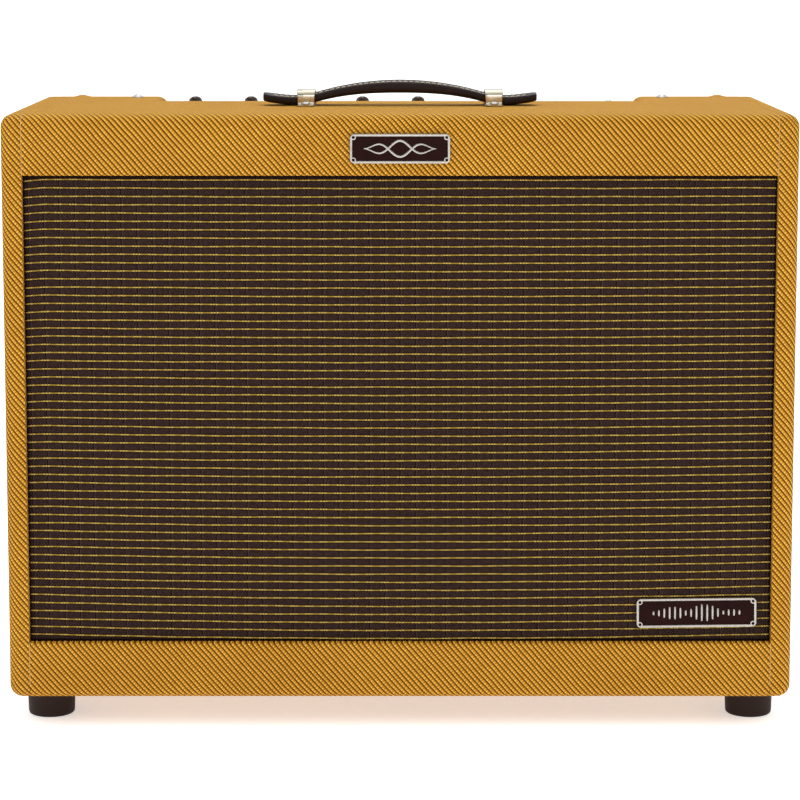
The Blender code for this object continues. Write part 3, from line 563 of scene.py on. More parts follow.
def publish(bm, name, finishes, body="cabinet", replaces=(), sharp=35):
    """Makes an object of a bmesh, rides it on its body and hides the frame parts that it replaces."""
    mesh = bpy.data.meshes.new(name)
    bm.to_mesh(mesh)
    bm.free()
    mesh.shade_smooth()
    mesh.set_sharp_from_angle(angle=radians(sharp))
    for material in finishes:
        mesh.materials.append(material)
    thing = link(name, mesh)
    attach(thing, body)
    if replaces:
        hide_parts(*replaces)
    return thing


def at(x, y, z=0.0):
    return Matrix.Translation((x, y, z))


FACING_FRONT = Matrix.Rotation(radians(90), 4, "X")
FACING_BACK = Matrix.Rotation(radians(-90), 4, "X")


# ---------------------------------------------------------------- covered boards
def bend(before, after, radius):
    """Distance along cloth that runs up to a rounded corner and on past it, from the start of the curve."""
    if before <= 0:
        return before
    if after >= 0:
        return radius * pi / 2 + after
    return radius * atan2(before, -after)


# Cloth from the middle of the front, round one side, to where the rear corner starts and to where it ends.
CLOTH_TO_REAR_CORNER = HALF_WIDTH + BACK - FRONT + (pi / 2 - 3) * EDGE
CLOTH_PAST_REAR_CORNER = CLOTH_TO_REAR_CORNER + EDGE * pi / 2


def unrolled(p, normal):
    """Flat cloth coordinates of a point on the covering of the cabinet's outside."""
    side = 1 if p.x > 0 else -1
    out, up = abs(p.x) - (HALF_WIDTH - EDGE), p.z - (TOP - EDGE)
    back, past_rear = p.y - (FRONT + EDGE), p.y - (BACK - EDGE)
    across, along, above = abs(normal.x), abs(normal.y), abs(normal.z)
    upright = above < max(across, along)
    on_side_board = abs(p.x) > INNER - 1e-5
    if not upright and normal.z < 0:
        return p.x, FLOOR_OF_CABINET - (p.y - FRONT)
    if upright and not on_side_board:
        if across > along:
            return p.y, p.z
        if normal.y > 0:
            return CLOTH_PAST_REAR_CORNER + HALF_WIDTH - EDGE - p.x, p.z
    if across > max(along, above) and normal.x * side < 0 and on_side_board:
        rear_fold = CLOTH_PAST_REAR_CORNER + HALF_WIDTH - EDGE - INNER + BACK - p.y
        return side * (INNER - (p.y - FRONT) if p.y < 0 else rear_fold), p.z
    if upright and on_side_board and past_rear > 0:
        return side * (CLOTH_TO_REAR_CORNER + bend(past_rear, -out, EDGE)), p.z
    if not upright:
        u = side * (HALF_WIDTH - EDGE + bend(out, TOP - p.z - EDGE, EDGE))
        return u, TOP - EDGE + bend(up, back, EDGE)
    u = side * (HALF_WIDTH - EDGE + bend(out, back, EDGE))
    past_top = -out if across > along else back
    return u, TOP - EDGE + bend(up, past_top, EDGE)


def lay_weave(bm, bare):
    """Writes the flat coordinates of the covering to every face corner and marks the bare wood."""
    layer = bm.loops.layers.float_vector.new("weave")
    for face in bm.faces:
        face.material_index = 1 if bare(face) else 0
        for loop in face.loops:
            loop[layer] = (*unrolled(loop.vert.co, face.normal), 0.0)


def cover(bm, node, bare):
    """Finishes a board: cloth outside and bare wood on the faces that bare() names."""
    face_outward(bm)
    lay_weave(bm, bare)
    publish(bm, "covered_" + node, [TWEED, PLYWOOD], replaces=[node])


def cut_at(bm, y):
    """Divides the faces of a board where the cloth ends on its inner side."""
    whole = bm.verts[:] + bm.edges[:] + bm.faces[:]
    bmesh.ops.bisect_plane(bm, geom=whole, plane_co=(0, y, 0), plane_no=(0, 1, 0), dist=1e-6)


def roll_edges(bm, chosen, radius, segments=8):
    bevel(bm, [edge for edge in bm.edges if chosen(*(v.co for v in edge.verts))], radius, segments)


def level(a, b, axis, place):
    """Whether both points lie at one place along an axis."""
    return max(abs(a[axis] - place), abs(b[axis] - place)) < 1e-5


X, Y, Z = range(3)
FOLD_IN = BACK - 0.018


def behind_fold(face):
    return face.calc_center_median().y >= FOLD_IN


def side_board(node, side):
    bm = box_mesh(*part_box(node))
    roll_edges(bm, lambda a, b: not level(a, b, X, side * INNER), EDGE)
    roll_edges(bm, lambda a, b: level(a, b, X, side * INNER), 0.0006, 2)
    cut_at(bm, FOLD_IN)
    cut_at(bm, CLOTH_LOW.y)
    inside = lambda face: face.normal.x * side < -0.9 and face.calc_center_median().y > CLOTH_LOW.y
    cover(bm, node, lambda face: inside(face) and not behind_fold(face))


def top_board(node="top_board"):
    """The top, with the notch for the control panel cut in from the rear."""
    low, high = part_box(node)
    outline = [(low.x, FRONT), (high.x, FRONT), (high.x, BACK), (NOTCH_HALF, BACK)]
    outline += [(NOTCH_HALF, NOTCH_FRONT), (-NOTCH_HALF, NOTCH_FRONT), (-NOTCH_HALF, BACK), (low.x, BACK)]
    bm = bmesh.new()
    floor = bm.faces.new([bm.verts.new((x, y, low.z)) for x, y in outline])
    grown = bmesh.ops.extrude_face_region(bm, geom=[floor])
    raised = [item for item in grown["geom"] if isinstance(item, bmesh.types.BMVert)]
    bmesh.ops.translate(bm, vec=(0, 0, high.z - low.z), verts=raised)
    behind = lambda a, b: min(a.y, b.y) > 0.05 and min(abs(a.x), abs(b.x)) < high.x - 1e-5
    roll_edges(bm, lambda a, b: level(a, b, Z, TOP) and level(a, b, Y, FRONT), EDGE)
    roll_edges(bm, lambda a, b: level(a, b, Z, TOP) and behind(a, b), NOTCH_EDGE)
    cut_at(bm, FOLD_IN)
    cover(bm, node, lambda face: face.normal.z < -0.9 and not behind_fold(face))


def bottom_board(node="bottom_board"):
    low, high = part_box(node)
    bm = box_mesh(low, high)
    roll_edges(bm, lambda a, b: level(a, b, Z, low.z) and abs(a.y - b.y) < 1e-5, EDGE)
    cut_at(bm, FOLD_IN)
    cover(bm, node, lambda face: face.normal.z > 0.9 and not behind_fold(face))


def front_panel(node, opening):
    """A covered panel that meets the board above or below it, where the frame leaves a hairline gap."""
    low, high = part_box(node)
    if opening == GRILLE_TOP:
        high.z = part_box("top_board")[0].z
    else:
        low.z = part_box("bottom_board")[1].z
    bm = box_mesh(low, high)
    roll_edges(bm, lambda a, b: level(a, b, Z, opening) and level(a, b, Y, FRONT), 0.0025, 5)
    cover(bm, node, lambda face: face.normal.y > 0.9)


def back_panel(node):
    bm = box_mesh(*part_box(node))
    roll_edges(bm, lambda a, b: level(a, b, Y, BACK), 0.002, 4)
    cover(bm, node, lambda face: face.normal.y < -0.9)


def covered_boards():
    side_board("left_side_board", -1)
    side_board("right_side_board", 1)
    top_board()
    bottom_board()
    front_panel("upper_front_panel", GRILLE_TOP)
    front_panel("lower_front_panel", GRILLE_BOTTOM)
    back_panel("upper_back_panel")
    back_panel("lower_back_panel")
    for across, side in (("left", -1), ("right", 1)):
        covering_fold("covering_fold_" + across, side)
    seam_threads()


def quads(bm, grid):
    """Faces between the rows of a grid of vertices."""
    for first, second in zip(grid, grid[1:]):
        for k in range(len(first) - 1):
            bm.faces.new((first[k], second[k], second[k + 1], first[k + 1]))


def covering_fold(name, side, steps_x=16, steps_y=10):
    """A small gather where the cloth is tucked round a rear outer corner of the top."""
    inner_x, width, depth, swollen = 0.2600, 0.0190, 0.0250, 0.0022
    front = BACK - 0.0270
    bm = bmesh.new()
    grid = []
    for u in spread(0, 1, steps_x):
        row = []
        for v in spread(0, 1, steps_y):
            y = front + depth * v
            swell = sin(pi * u) ** 2 * (0.25 + 0.75 * v) * sin(pi * min(1.0, v * 1.6) / 2)
            drop = EDGE - sqrt(EDGE ** 2 - max(0.0, y - (BACK - EDGE)) ** 2)
            z = TOP - 0.0002 + swollen * swell * (1 - 0.15 * drop / EDGE) - drop
            row.append(bm.verts.new((side * (inner_x + width * u), y, z)))
        grid.append(row)
    quads(bm, grid)
    face_outward(bm)
    if bm.faces[:][0].normal.z < 0:
        bmesh.ops.reverse_faces(bm, faces=bm.faces[:])
    lay_weave(bm, lambda face: False)
    publish(bm, name, [TWEED], sharp=80)


def seam_threads():
    """The cut edge of the covering, a thin line down each side of the two front panels."""
    lift = 0.0001
    shape = Shape()
    for side in (-1, 1):
        x, y = side * (PANEL_HALF + lift), FRONT + lift
        upper = [(x, y, z) for z in spread(GRILLE_TOP, TOP - EDGE, 29)]
        for t in spread(0.1, 1.2, 5):
            upper.append((x, FRONT + EDGE - (EDGE - lift) * cos(t), TOP - EDGE + (EDGE - lift) * sin(t)))
        lower = [(x, y, z) for z in spread(FLOOR_OF_CABINET + EDGE, GRILLE_BOTTOM, 23)]
        for path in (upper, lower):
            radii = [0.0003 + 0.00012 * sin(9.7 * i) for i in range(len(path))]
            shape.add(tube(path, radii, 6), SEAM)
    shape.make("covering_seams", "tweed")


# ---------------------------------------------------------------- grille cloth
STRIPE_COUNT = 57
FIRST_STRIPE_Z = 0.4284
STRIPE_PITCH = 0.006405
STRIPE_HALF_HEIGHT, STRIPE_PROUD = 0.00050, 0.00042
EDGE_DIP = 0.0015
DIP_WIDTH = 0.018


def stripe_height(row, x):
    """Height of a stripe: it fans out at the sides, and dips at the upper left where the cloth turns in."""
    dip = max(0.0, 1 - (PANEL_HALF + x) / DIP_WIDTH) ** 1.5 * EDGE_DIP * (1 - row / STRIPE_COUNT)
    wave = 0.00011 * sin(x * 95 + row * 2.4) + 0.00008 * sin(x * 41 - row * 1.7)
    fan = (0.0006 + 0.0030 * row / (STRIPE_COUNT - 1)) * (x / PANEL_HALF) ** 2
    return FIRST_STRIPE_Z - STRIPE_PITCH * row + fan - dip + wave


def grille_cloth():
    """The stretched cloth, its columns closer at the sides and its rows along the stripes."""
    face = CLOTH_LOW.y + GAP
    border = spread(0.0, 0.0032, 4)
    columns = [CLOTH_LOW.x + step for step in border]
    columns += spread(CLOTH_LOW.x + 0.005, CLOTH_HIGH.x - 0.005, 94)
    columns += [CLOTH_HIGH.x - step for step in reversed(border)]
    bm = bmesh.new()
    layer = bm.verts.layers.float_vector.new("weave")
    grid = []
    for row in spread(-1, STRIPE_COUNT, 2 * STRIPE_COUNT + 2):
        line = []
        for x in columns:
            z = min(CLOTH_HIGH.z, max(CLOTH_LOW.z, stripe_height(row, x)))
            vertex = bm.verts.new((x, face + 0.00012 * sin(x * 60) * sin(z * 75), z))
            vertex[layer] = (x, row, min(PANEL_HALF - abs(x), CLOTH_HIGH.z - z, z - CLOTH_LOW.z))
            line.append(vertex)
        grid.append(line)
    quads(bm, [line[::-1] for line in grid])
    flat_faces = [f for f in bm.faces if f.calc_area() < 1e-9]
    bmesh.ops.delete(bm, geom=flat_faces, context="FACES")
    cloth = publish(bm, "stretched_grille_cloth", [CLOTH], replaces=["grille_cloth"], sharp=60)
    stripes = gold_stripes(face)


def gold_stripes(face, steps=288):
    """Each stripe is a low ridge, woven over the face of the cloth."""
    bm = bmesh.new()
    layer = bm.verts.layers.float_vector.new("weave")
    section = [(-1.0, 0.0), (-0.72, 0.75), (0.0, 1.0), (0.72, 0.75), (1.0, 0.0)]
    for row in range(STRIPE_COUNT):
        rings = []
        for x in spread(CLOTH_LOW.x, CLOTH_HIGH.x, steps):
            ring = []
            for up, out in section:
                y, z = face - 0.00005 - STRIPE_PROUD * out, stripe_height(row, x) + STRIPE_HALF_HEIGHT * up
                ring.append(bm.verts.new((x, y, z)))
                ring[-1][layer] = (x, PANEL_HALF - abs(x), 0.0)
            rings.append(ring[::-1])
        quads(bm, rings)
    return publish(bm, "gold_stripes", [GOLD], sharp=80)


# ---------------------------------------------------------------- handle
STRAP_LOW, STRAP_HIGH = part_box("handle_strap")
HANDLE_Y = middle("handle_strap").y
STRAP_END = STRAP_HIGH.x - 0.0025
STRAP_WIDTH = STRAP_HIGH.y - STRAP_LOW.y
STRAP_ARCH, STRAP_AT_CLIP = 0.0203, 0.0080
STRAP_THICKNESS, STRAP_PADDING, PADDING_REACH = 0.0074, 0.0028, 0.045
STRAP_TAPER = 0.010
# The strap's section is a squared-off oval: these powers square it sideways and upwards.
SQUARE_SIDE, SQUARE_UP = 0.45, 0.55
CLIP_X = middle("handle_clip_right").x
CLIP_METAL = 0.0013


def strap_levels(x):
    """Heights of the strap's lower and upper face over the top board: an arch that curls up at its ends."""
    top = STRAP_ARCH - (STRAP_ARCH - STRAP_AT_CLIP) * min(1.0, (x / CLIP_X) ** 2)
    top += 0.0032 * max(0.0, (abs(x) - CLIP_X - 0.012) / 0.025) ** 1.5
    return max(0.0005, top - STRAP_THICKNESS - STRAP_PADDING * exp(-((x / PADDING_REACH) ** 2))), top


def strap_section(x, points=28):
    """Cross-section of the strap at x, with a pressed groove along each edge of its upper face."""
    end = max(0.0, (abs(x) - (STRAP_END - STRAP_TAPER)) / STRAP_TAPER)
    half = STRAP_WIDTH / 2 * (1 - 0.34 * end ** 2.6)
    low, high = strap_levels(x)
    tall = (high - low) / 2 * (1 - 0.18 * end ** 5)
    ring = []
    for k in range(points):
        c, s = cos(2 * pi * k / points), sin(2 * pi * k / points)
        y = half * copysign(abs(c) ** SQUARE_SIDE, c)
        z = (low + high) / 2 + tall * copysign(abs(s) ** SQUARE_UP, s)
        groove = 0.0005 * exp(-(((abs(y) - half * 0.78) / 0.0011) ** 2)) if s > 0 else 0.0
        ring.append((x, HANDLE_Y + y, TOP + z - groove))
    return ring


def strap_face(x, y):
    """Height over the top board of the strap's upper face at a distance y from its middle line."""
    low, high = strap_levels(x)
    across = (2 * y / STRAP_WIDTH) ** (1 / SQUARE_SIDE)
    return (low + high) / 2 + (high - low) / 2 * sqrt(1 - across ** 2) ** SQUARE_UP


def handle():
    """The strap with a row of stitches along each side, its two clips and their screws."""
    shape = Shape()
    ends = [STRAP_END - STRAP_TAPER * (1 - share) for share in (0.25, 0.45, 0.62, 0.76, 0.87, 0.95, 1.0)]
    inner = spread(STRAP_TAPER - STRAP_END, STRAP_END - STRAP_TAPER, 59)
    stations = [-x for x in reversed(ends)] + inner + ends
    shape.add(skin([strap_section(x) for x in stations]), LEATHER)
    row, pitch = 0.0112, 0.0045
    # One stitch rises out of the leather, runs along it and dips in again: (along, up, thread radius).
    stitch = [(-0.0016, -0.0006, 0.0002), (-0.0011, 0.0001, 0.00038), (0.0, 0.0002, 0.00044)]
    stitch += [(0.0011, 0.0001, 0.00038), (0.0016, -0.0006, 0.0002)]
    for side in (-1, 1):
        for k in range(-22, 23):
            path = []
            for along, up, _ in stitch:
                x = k * pitch + along
                path.append((x, HANDLE_Y + side * row, TOP + strap_face(x, row) + up))
            shape.add(tube(path, [radius for _, _, radius in stitch], 8), STITCH)
    shape.make("stitched_strap", "leather", "handle", ["handle_strap"])
    for across, side in (("left", -1), ("right", 1)):
        clip(f"handle_clip_{across}", side * CLIP_X)
        for along in ("front", "rear"):
            screw(f"handle_screw_{across}_{along}", TOP + CLIP_METAL + 0.0006)


def clip(name, x):
    """Bridge clip: a pressed band over the strap with a rounded foot at each end."""
    low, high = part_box(name)
    foot_end, wall, heel, bend_radius = high.y - HANDLE_Y, STRAP_WIDTH / 2 + 0.0014, 0.0016, 0.0032
    base, crown = low.z + CLIP_METAL / 2, high.z - CLIP_METAL / 2
    half = [(y, base) for y in spread(foot_end, wall + heel, 8)]
    half += [(wall + heel * (1 - sin(t)), base + heel * (1 - cos(t))) for t in spread(0.3, 1.57, 4)]
    half += [(wall, z) for z in spread(base + 0.0022, crown - bend_radius, 5)]
    for t in spread(0.2, 1.57, 5):
        half.append((wall - bend_radius * (1 - cos(t)), crown - bend_radius * (1 - sin(t))))
    half += [(y, crown) for y in spread(wall - bend_radius - 0.002, 0.0, 3)]
    path = [(-y, z) for y, z in half] + half[::-1][1:]
    screw_y, foot_half, wall_half = 0.0192, 0.0075, 0.0066
    rings = []
    for i, (y, z) in enumerate(path):
        ahead, behind = path[min(i + 1, len(path) - 1)], path[max(i - 1, 0)]
        tangent = Vector((ahead[0] - behind[0], ahead[1] - behind[1])).normalized()
        if abs(y) > wall + heel:
            rounding = max(0.0, abs(y) - screw_y) / 0.0080
            width = foot_half * sqrt(max(0.12, 1 - rounding ** 2))
        else:
            width = wall_half + (foot_half - wall_half) * ((z - base) / (crown - base)) ** 2
        outline = rounded_outline(2 * width, CLIP_METAL, 0.00055, 3)
        rings.append([(x + a, HANDLE_Y + y - tangent.y * b, z + tangent.x * b) for a, b in outline])
    Shape().add(skin(rings), NICKEL).make("plated_" + name, "nickel", replaces=[name])


def screw_head(radius, height, rings=9, count=48):
    """A domed head with a cross recess."""
    circles = [circle(radius, 0.0, count)]
    for share in spread(1, 0, rings):
        dome = height * sqrt(1 - (0.93 * share) ** 2)
        ring = []
        for x, y, _ in circle(max(1e-6, radius * share), 0, count):
            in_cross = min(abs(x), abs(y)) < radius * 0.13 and share < 0.6
            ring.append((x, y, dome - height * 0.55 * in_cross))
        circles.append(ring)
    return skin(circles)


def screw(node, seat, head_share=1.0, cup=()):
    """A plated screw, its head on a seat, with a cup washer under it where there is one."""
    low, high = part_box(node)
    head = (high.x - low.x) / 2
    place = at(middle(node).x, middle(node).y, seat)
    shape = Shape().add(screw_head(head * head_share, high.z - seat), CHROME, place)
    if cup:
        shape.add(turned([(head * share, z) for share, z in cup], 40, loop=True), CHROME, place)
    point = low.z - seat
    shape.add(turned([(0, point), (0.0017, point + 0.002), (0.0017, 0.0)], 12), CHROME, place)
    shape.make("plated_" + node, "nickel", replaces=[node])


def chassis_screws():
    cup = [(0.6, 0.0), (0.78, 0.0009), (1.0, 0.0008), (1.12, 0.0002), (1.12, -0.0002), (0.6, -0.0002)]
    for side in ("left", "right"):
        screw("chassis_screw_" + side, TOP + GAP, 0.82, cup)


# ---------------------------------------------------------------- badges
def badge(node, tilt, motif):
    """An enamelled plate in a raised metal rim, with a small screw in each corner and a metal motif."""
    low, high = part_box(node)
    turn = radians(tilt)
    wide, thick, tall = high - low
    width = (wide * cos(turn) - tall * sin(turn)) / cos(2 * turn)
    height = (tall * cos(turn) - wide * sin(turn)) / cos(2 * turn)
    place = at(middle(node).x, high.y, middle(node).z) @ Matrix.Rotation(-turn, 4, "Y") @ FACING_FRONT
    shape = Shape()
    outline = rounded_outline(width, height, 0.0035, 6)
    field = thick * 0.62
    shape.add(slab(outline, [(0, 0.0002), (0.0003, 0), (field, 0), (field, 0.0007)]), BADGE_FIELD, place)
    rim = [(0.0002, 0), (thick - 0.0006, 0), (thick - 0.0001, 0.0002), (thick, 0.0004)]
    rim += [(thick, 0.0015), (thick - 0.0002, 0.0018), (field, 0.0020), (0.0002, 0.0020)]
    shape.add(skin([inset_ring(outline, z, inset) for z, inset in rim], loop=True), RIM, place)
    eyelet = [(0, 0), (0.0020, 0), (0.0020, 0.0009), (0.0014, 0.0010), (0, 0.0010)]
    for x, y in corners(width / 2 - 0.0027, height / 2 - 0.0027):
        corner = place @ at(x, y, field)
        shape.add(turned(eyelet, 24), RIM, corner)
        shape.add(screw_head(0.0012, 0.0006, 5, 20), BADGE_FIELD, corner @ at(0, 0, 0.0008))
    for path, radii in motif(width, height):
        shape.add(tube([(x, y, field + 0.0001) for x, y in path], radii, 8), RIM, place)
    shape.make("enamelled_" + node, "badge", replaces=[node])


def string_motif(width, height):
    """A vibrating string: two mirrored waves that swell to the middle."""
    times = spread(0, 1, 72)
    radii = [0.0004 + 0.0006 * sin(pi * t) for t in times]
    for reach in (-height * 0.27, height * 0.27):
        yield [(width * 0.36 * (2 * t - 1), reach * sin(pi * t) * sin(3 * pi * t)) for t in times], radii


def pulse_motif(width, height, count=17):
    """A row of upright bars that rise and fall like a sounding note."""
    for k in range(count):
        t = (k + 0.5) / count
        tall = height * (0.06 + 0.24 * abs(sin(2.5 * pi * t)) * sin(pi * t))
        radii = [0.0006, 0.0009, 0.0009, 0.0009, 0.0006]
        yield [(width * 0.76 * (t - 0.5), tall * share) for share in (-1, -0.5, 0, 0.5, 1)], radii


# ---------------------------------------------------------------- feet
def foot(node):
    """A tapered rubber foot with a recess for its washer and screw."""
    low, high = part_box(node)
    centre = middle(node)
    radius, top, edge, recess_top = (high.x - low.x) / 2, high.z, 0.0022, 0.0122
    profile = [(0, top), (0.0060, top), *arc((radius - edge, top - edge), edge, 90, 0, 5)]
    profile += [(radius - 0.0003, top - 0.008), (radius - 0.0007, 0.004)]
    profile += [*arc((radius - 0.0030, edge), edge, 0, -90, 5), (0.0088, 0.0), (0.0078, 0.0012)]
    profile += [(0.0072, recess_top - 0.0002), (0.0, recess_top)]
    shape = Shape().add(turned(profile, 48), RUBBER, at(centre.x, centre.y))
    seat = [(0.0026, 0.0), (0.0066, 0.0), (0.0068, -0.0004), (0.0066, -0.0011), (0.0026, -0.0011)]
    shape.add(turned(seat, 32, loop=True), CHROME, at(centre.x, centre.y, 0.0119))
    upside_down = at(centre.x, centre.y, 0.0108) @ Matrix.Rotation(pi, 4, "X")
    shape.add(screw_head(0.0042, 0.0024), CHROME, upside_down)
    shape.make("moulded_" + node, "rubber", replaces=[node])


# ---------------------------------------------------------------- knobs and controls
def knob(number):
    """A pointer knob: a round skirt, and a grip that narrows to a point over a white line."""
    node = f"knob_{number}"
    base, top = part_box(node)[0].z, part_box(node)[1].z
    place = at(middle(f"shaft_{number}").x, CONTROL_Y)
    radius, skirt_top = 0.0098, base + 0.0062
    profile = [(0, base), (0.0035, base), (radius - 0.0004, base), (radius, base + 0.0004)]
    profile += [(radius, skirt_top - 0.0016), *arc((radius - 0.0012, skirt_top - 0.0016), 0.0012, 0, 80, 4)]
    profile += [(radius * 0.72, skirt_top + 0.0006), (0.0, skirt_top + 0.0010)]
    shape = Shape().add(turned(profile, 56), KNOB, place)
    levels = [(base + 0.0014, 1.0), (skirt_top + 0.0016, 0.97), (top - 0.0034, 0.90), (top - 0.0019, 0.80)]
    levels += [(top - 0.0010, 0.62), (top - 0.0003, 0.44), (top, 0.30)]
    rings = []
    for z, wide in levels:
        half = 0.0062 * wide
        long = 0.55 + 0.45 * wide ** 0.6
        right = [(0.0018 * wide, -0.0168 * long), (0.0026 * wide, -0.0155 * long)]
        right += [(half * 0.80, -0.0060), (half * 0.95, -0.0015)]
        back = [(half * cos(t), long * (0.0052 + 0.0043 * sin(t))) for t in spread(-0.25, pi + 0.25, 10)]
        rings.append([(x, y, z) for x, y in right + back + [(-x, y) for x, y in right[::-1]]])
    shape.add(skin(rings), KNOB, place)
    line = [(-0.0150, 0.0052), (-0.0130, 0.0012), (-0.0090, 0.0003), (-0.0030, 0.0001)]
    shape.add(tube([(0, y, top - under) for y, under in line], 0.00035, 6), INDEX, place)
    shape.make(f"moulded_{node}", "knob_plastic", node, [node], sharp=50)


def toggle():
    """A bat lever with a ball in its bush."""
    pivot = Vector(next(j for j in frame["joints"] if j["name"] == "power_toggle_tilt")["pos_m"])
    lean = radians(13)
    tip = (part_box("toggle_lever")[1].z - pivot.z) / cos(lean) - 0.0001
    profile = [(0, -0.0022), (0.0011, -0.0020), (0.0022, -0.0008), (0.0023, 0.0004), (0.0020, 0.0014)]
    profile += [(0.0013, 0.0024), (0.0014, 0.0040), (0.0019, tip - 0.0045), (0.0025, tip - 0.0030)]
    profile += [(0.0026, tip - 0.0018), (0.0022, tip - 0.0007), (0.0013, tip - 0.0001), (0, tip)]
    turn = Matrix.Translation(pivot) @ Matrix.Rotation(lean, 4, "X")
    shape = Shape().add(turned(profile, 28), CHROME, turn)
    shape.make("bat_lever", "nickel", "power_toggle", ["toggle_lever"], sharp=60)


def jack_lining():
    """Black sleeve down the bore of the input jack."""
    centre, top = middle("input_jack"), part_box("input_jack")[1].z - 0.0004
    floor = top - 0.0186
    sleeve = [(0, floor), (0.0035, floor), (0.0035, top), (0.0031, top)]
    sleeve += [(0.0031, floor + 0.001), (0, floor + 0.001)]
    shape = Shape().add(turned(sleeve, 32), BLACK_PLASTIC, at(centre.x, centre.y))
    shape.make("jack_lining", "moulded_plastic")


def hexagon(across_flats, low, high, chamfer=0.0004):
    outline = [(x, y) for x, y, _ in circle(across_flats / sqrt(3), count=6)]
    return slab(outline, [(low, chamfer), (low + chamfer, 0), (high - chamfer, 0), (high, chamfer)])


def lamp():
    """A plated bezel with a faceted amber jewel in it."""
    low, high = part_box("pilot_lamp_bezel")
    place = at(middle("pilot_lamp_bezel").x, middle("pilot_lamp_bezel").y)
    base, rim = CONTROL_PANEL_HIGH.z + GAP, high.z
    bezel = [(0.0060, base), (0.0086, base), (0.0086, base + 0.0008), (0.0083, rim - 0.0014)]
    bezel += [(0.0080, rim - 0.0006), (0.0073, rim), (0.0064, rim - 0.0002), (0.0060, rim - 0.0010)]
    shape = Shape().add(turned(bezel, 40, loop=True), CHROME, place)
    shape.add(washer(0.0045, 0.0060, low.z, base + 0.001, 24), ZINC, place)
    shape.make("lamp_bezel", "nickel", replaces=["pilot_lamp_bezel"])
    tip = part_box("pilot_jewel")[1].z
    facets = [(0, rim - 0.0030), (0.0040, rim - 0.0030), (0.0059, rim - 0.0002), (0.0061, rim + 0.0016)]
    facets += [(0.0051, rim + 0.0040), (0.0034, tip - 0.0012), (0.0015, tip - 0.0002), (0, tip)]
    jewel = Shape().add(turned(facets, 12), AMBER, place)
    jewel.make("faceted_jewel", "jewel", replaces=["pilot_jewel"], sharp=12)


# Strokes of each numeral on a grid two wide and four high.
NUMERALS = {
    "0": [[(0, 1), (0, 3), (1, 4), (2, 3), (2, 1), (1, 0), (0, 1)]],
    "1": [[(0.4, 3.2), (1.2, 4), (1.2, 0)]],
    "2": [[(0, 3.2), (0.6, 4), (1.6, 4), (2, 3), (0, 0), (2, 0)]],
    "3": [[(0, 3.6), (1.2, 4), (2, 3.2), (1, 2.2), (2, 1), (1.2, 0), (0, 0.4)]],
    "4": [[(1.6, 0), (1.6, 4), (0, 1.2), (2, 1.2)]],
    "5": [[(2, 4), (0.2, 4), (0.1, 2.3), (1.4, 2.4), (2, 1.2), (1.2, 0), (0, 0.3)]],
    "6": [[(1.8, 4), (0.2, 2), (0.2, 0.8), (1, 0), (2, 1), (1.2, 2.1), (0.2, 1.4)]],
    "7": [[(0, 4), (2, 4), (0.7, 0)]],
    "8": [[(1, 2.2), (0.2, 3.1), (1, 4), (1.8, 3.1), (1, 2.2), (0, 1), (1, 0), (2, 1), (1, 2.2)]],
    "9": [[(1.8, 2.6), (0.8, 1.9), (0, 3), (1, 4), (1.8, 3.2), (1.8, 2), (0.4, 0)]],
}


def numeral(text, x, y, z, size):
    """Printed strokes of a whole number, centred at (x, y), read from behind the cabinet."""
    for k, digit in enumerate(text):
        shift = (k - (len(text) - 1) / 2) * 3.0 - 1.0
        for stroke in NUMERALS[digit]:
            yield [(x - (px + shift) * size / 4, y - (py - 2.0) * size / 4, z) for px, py in stroke]


def dial_marks():
    """Printed ticks and numbers round each knob, and hexagon nuts on the jack and the switch."""
    ring, tick, number_gap, steps = 0.0116, 0.0016, 0.0036, 12
    z = CONTROL_PANEL_HIGH.z
    shape = Shape()
    for number in range(1, 6):
        centre = Vector((middle(f"shaft_{number}").x, CONTROL_Y, z))
        for step, angle in enumerate(spread(radians(-240), radians(60), steps - 1), start=1):
            way = Vector((cos(angle), sin(angle), 0))
            start = centre + way * ring
            shape.add(tube([start, start + way * tick], 0.00020, 6), PRINT)
            spot = start + way * number_gap
            for stroke in numeral(str(step), spot.x, spot.y, z, 0.0026):
                shape.add(tube(stroke, 0.00018, 6), PRINT)
    shape.make("panel_marks", "panel_chrome")
    nuts = Shape()
    for node, flats, height in (("input_jack", 0.0164, 0.0027), ("toggle_switch_body", 0.0166, 0.0025)):
        nuts.add(hexagon(flats, z + GAP, z + height), CHROME, at(middle(node).x, CONTROL_Y))
    nuts.make("panel_nuts", "nickel")


# ---------------------------------------------------------------- back and inside
def back_screws():
    """Screws with cup washers along the two back panels."""
    cup = [(0.0026, -0.0002), (0.0034, 0.0006), (0.0052, 0.0005), (0.0058, 0.0001), (0.0058, -0.0003)]
    cup.append((0.0026, -0.0004))
    shape = Shape()
    for node, heights in (("upper_back_panel", (0.25, 0.78)), ("lower_back_panel", (0.16, 0.84))):
        low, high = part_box(node)
        for share in heights:
            for x in spread(-0.272, 0.272, 4):
                place = at(x, BACK, low.z + (high.z - low.z) * share) @ FACING_BACK
                shape.add(screw_head(0.0032, 0.0009), CHROME, place)
                shape.add(turned(cup, 32, loop=True), CHROME, place)
    shape.make("back_panel_screws", "nickel")


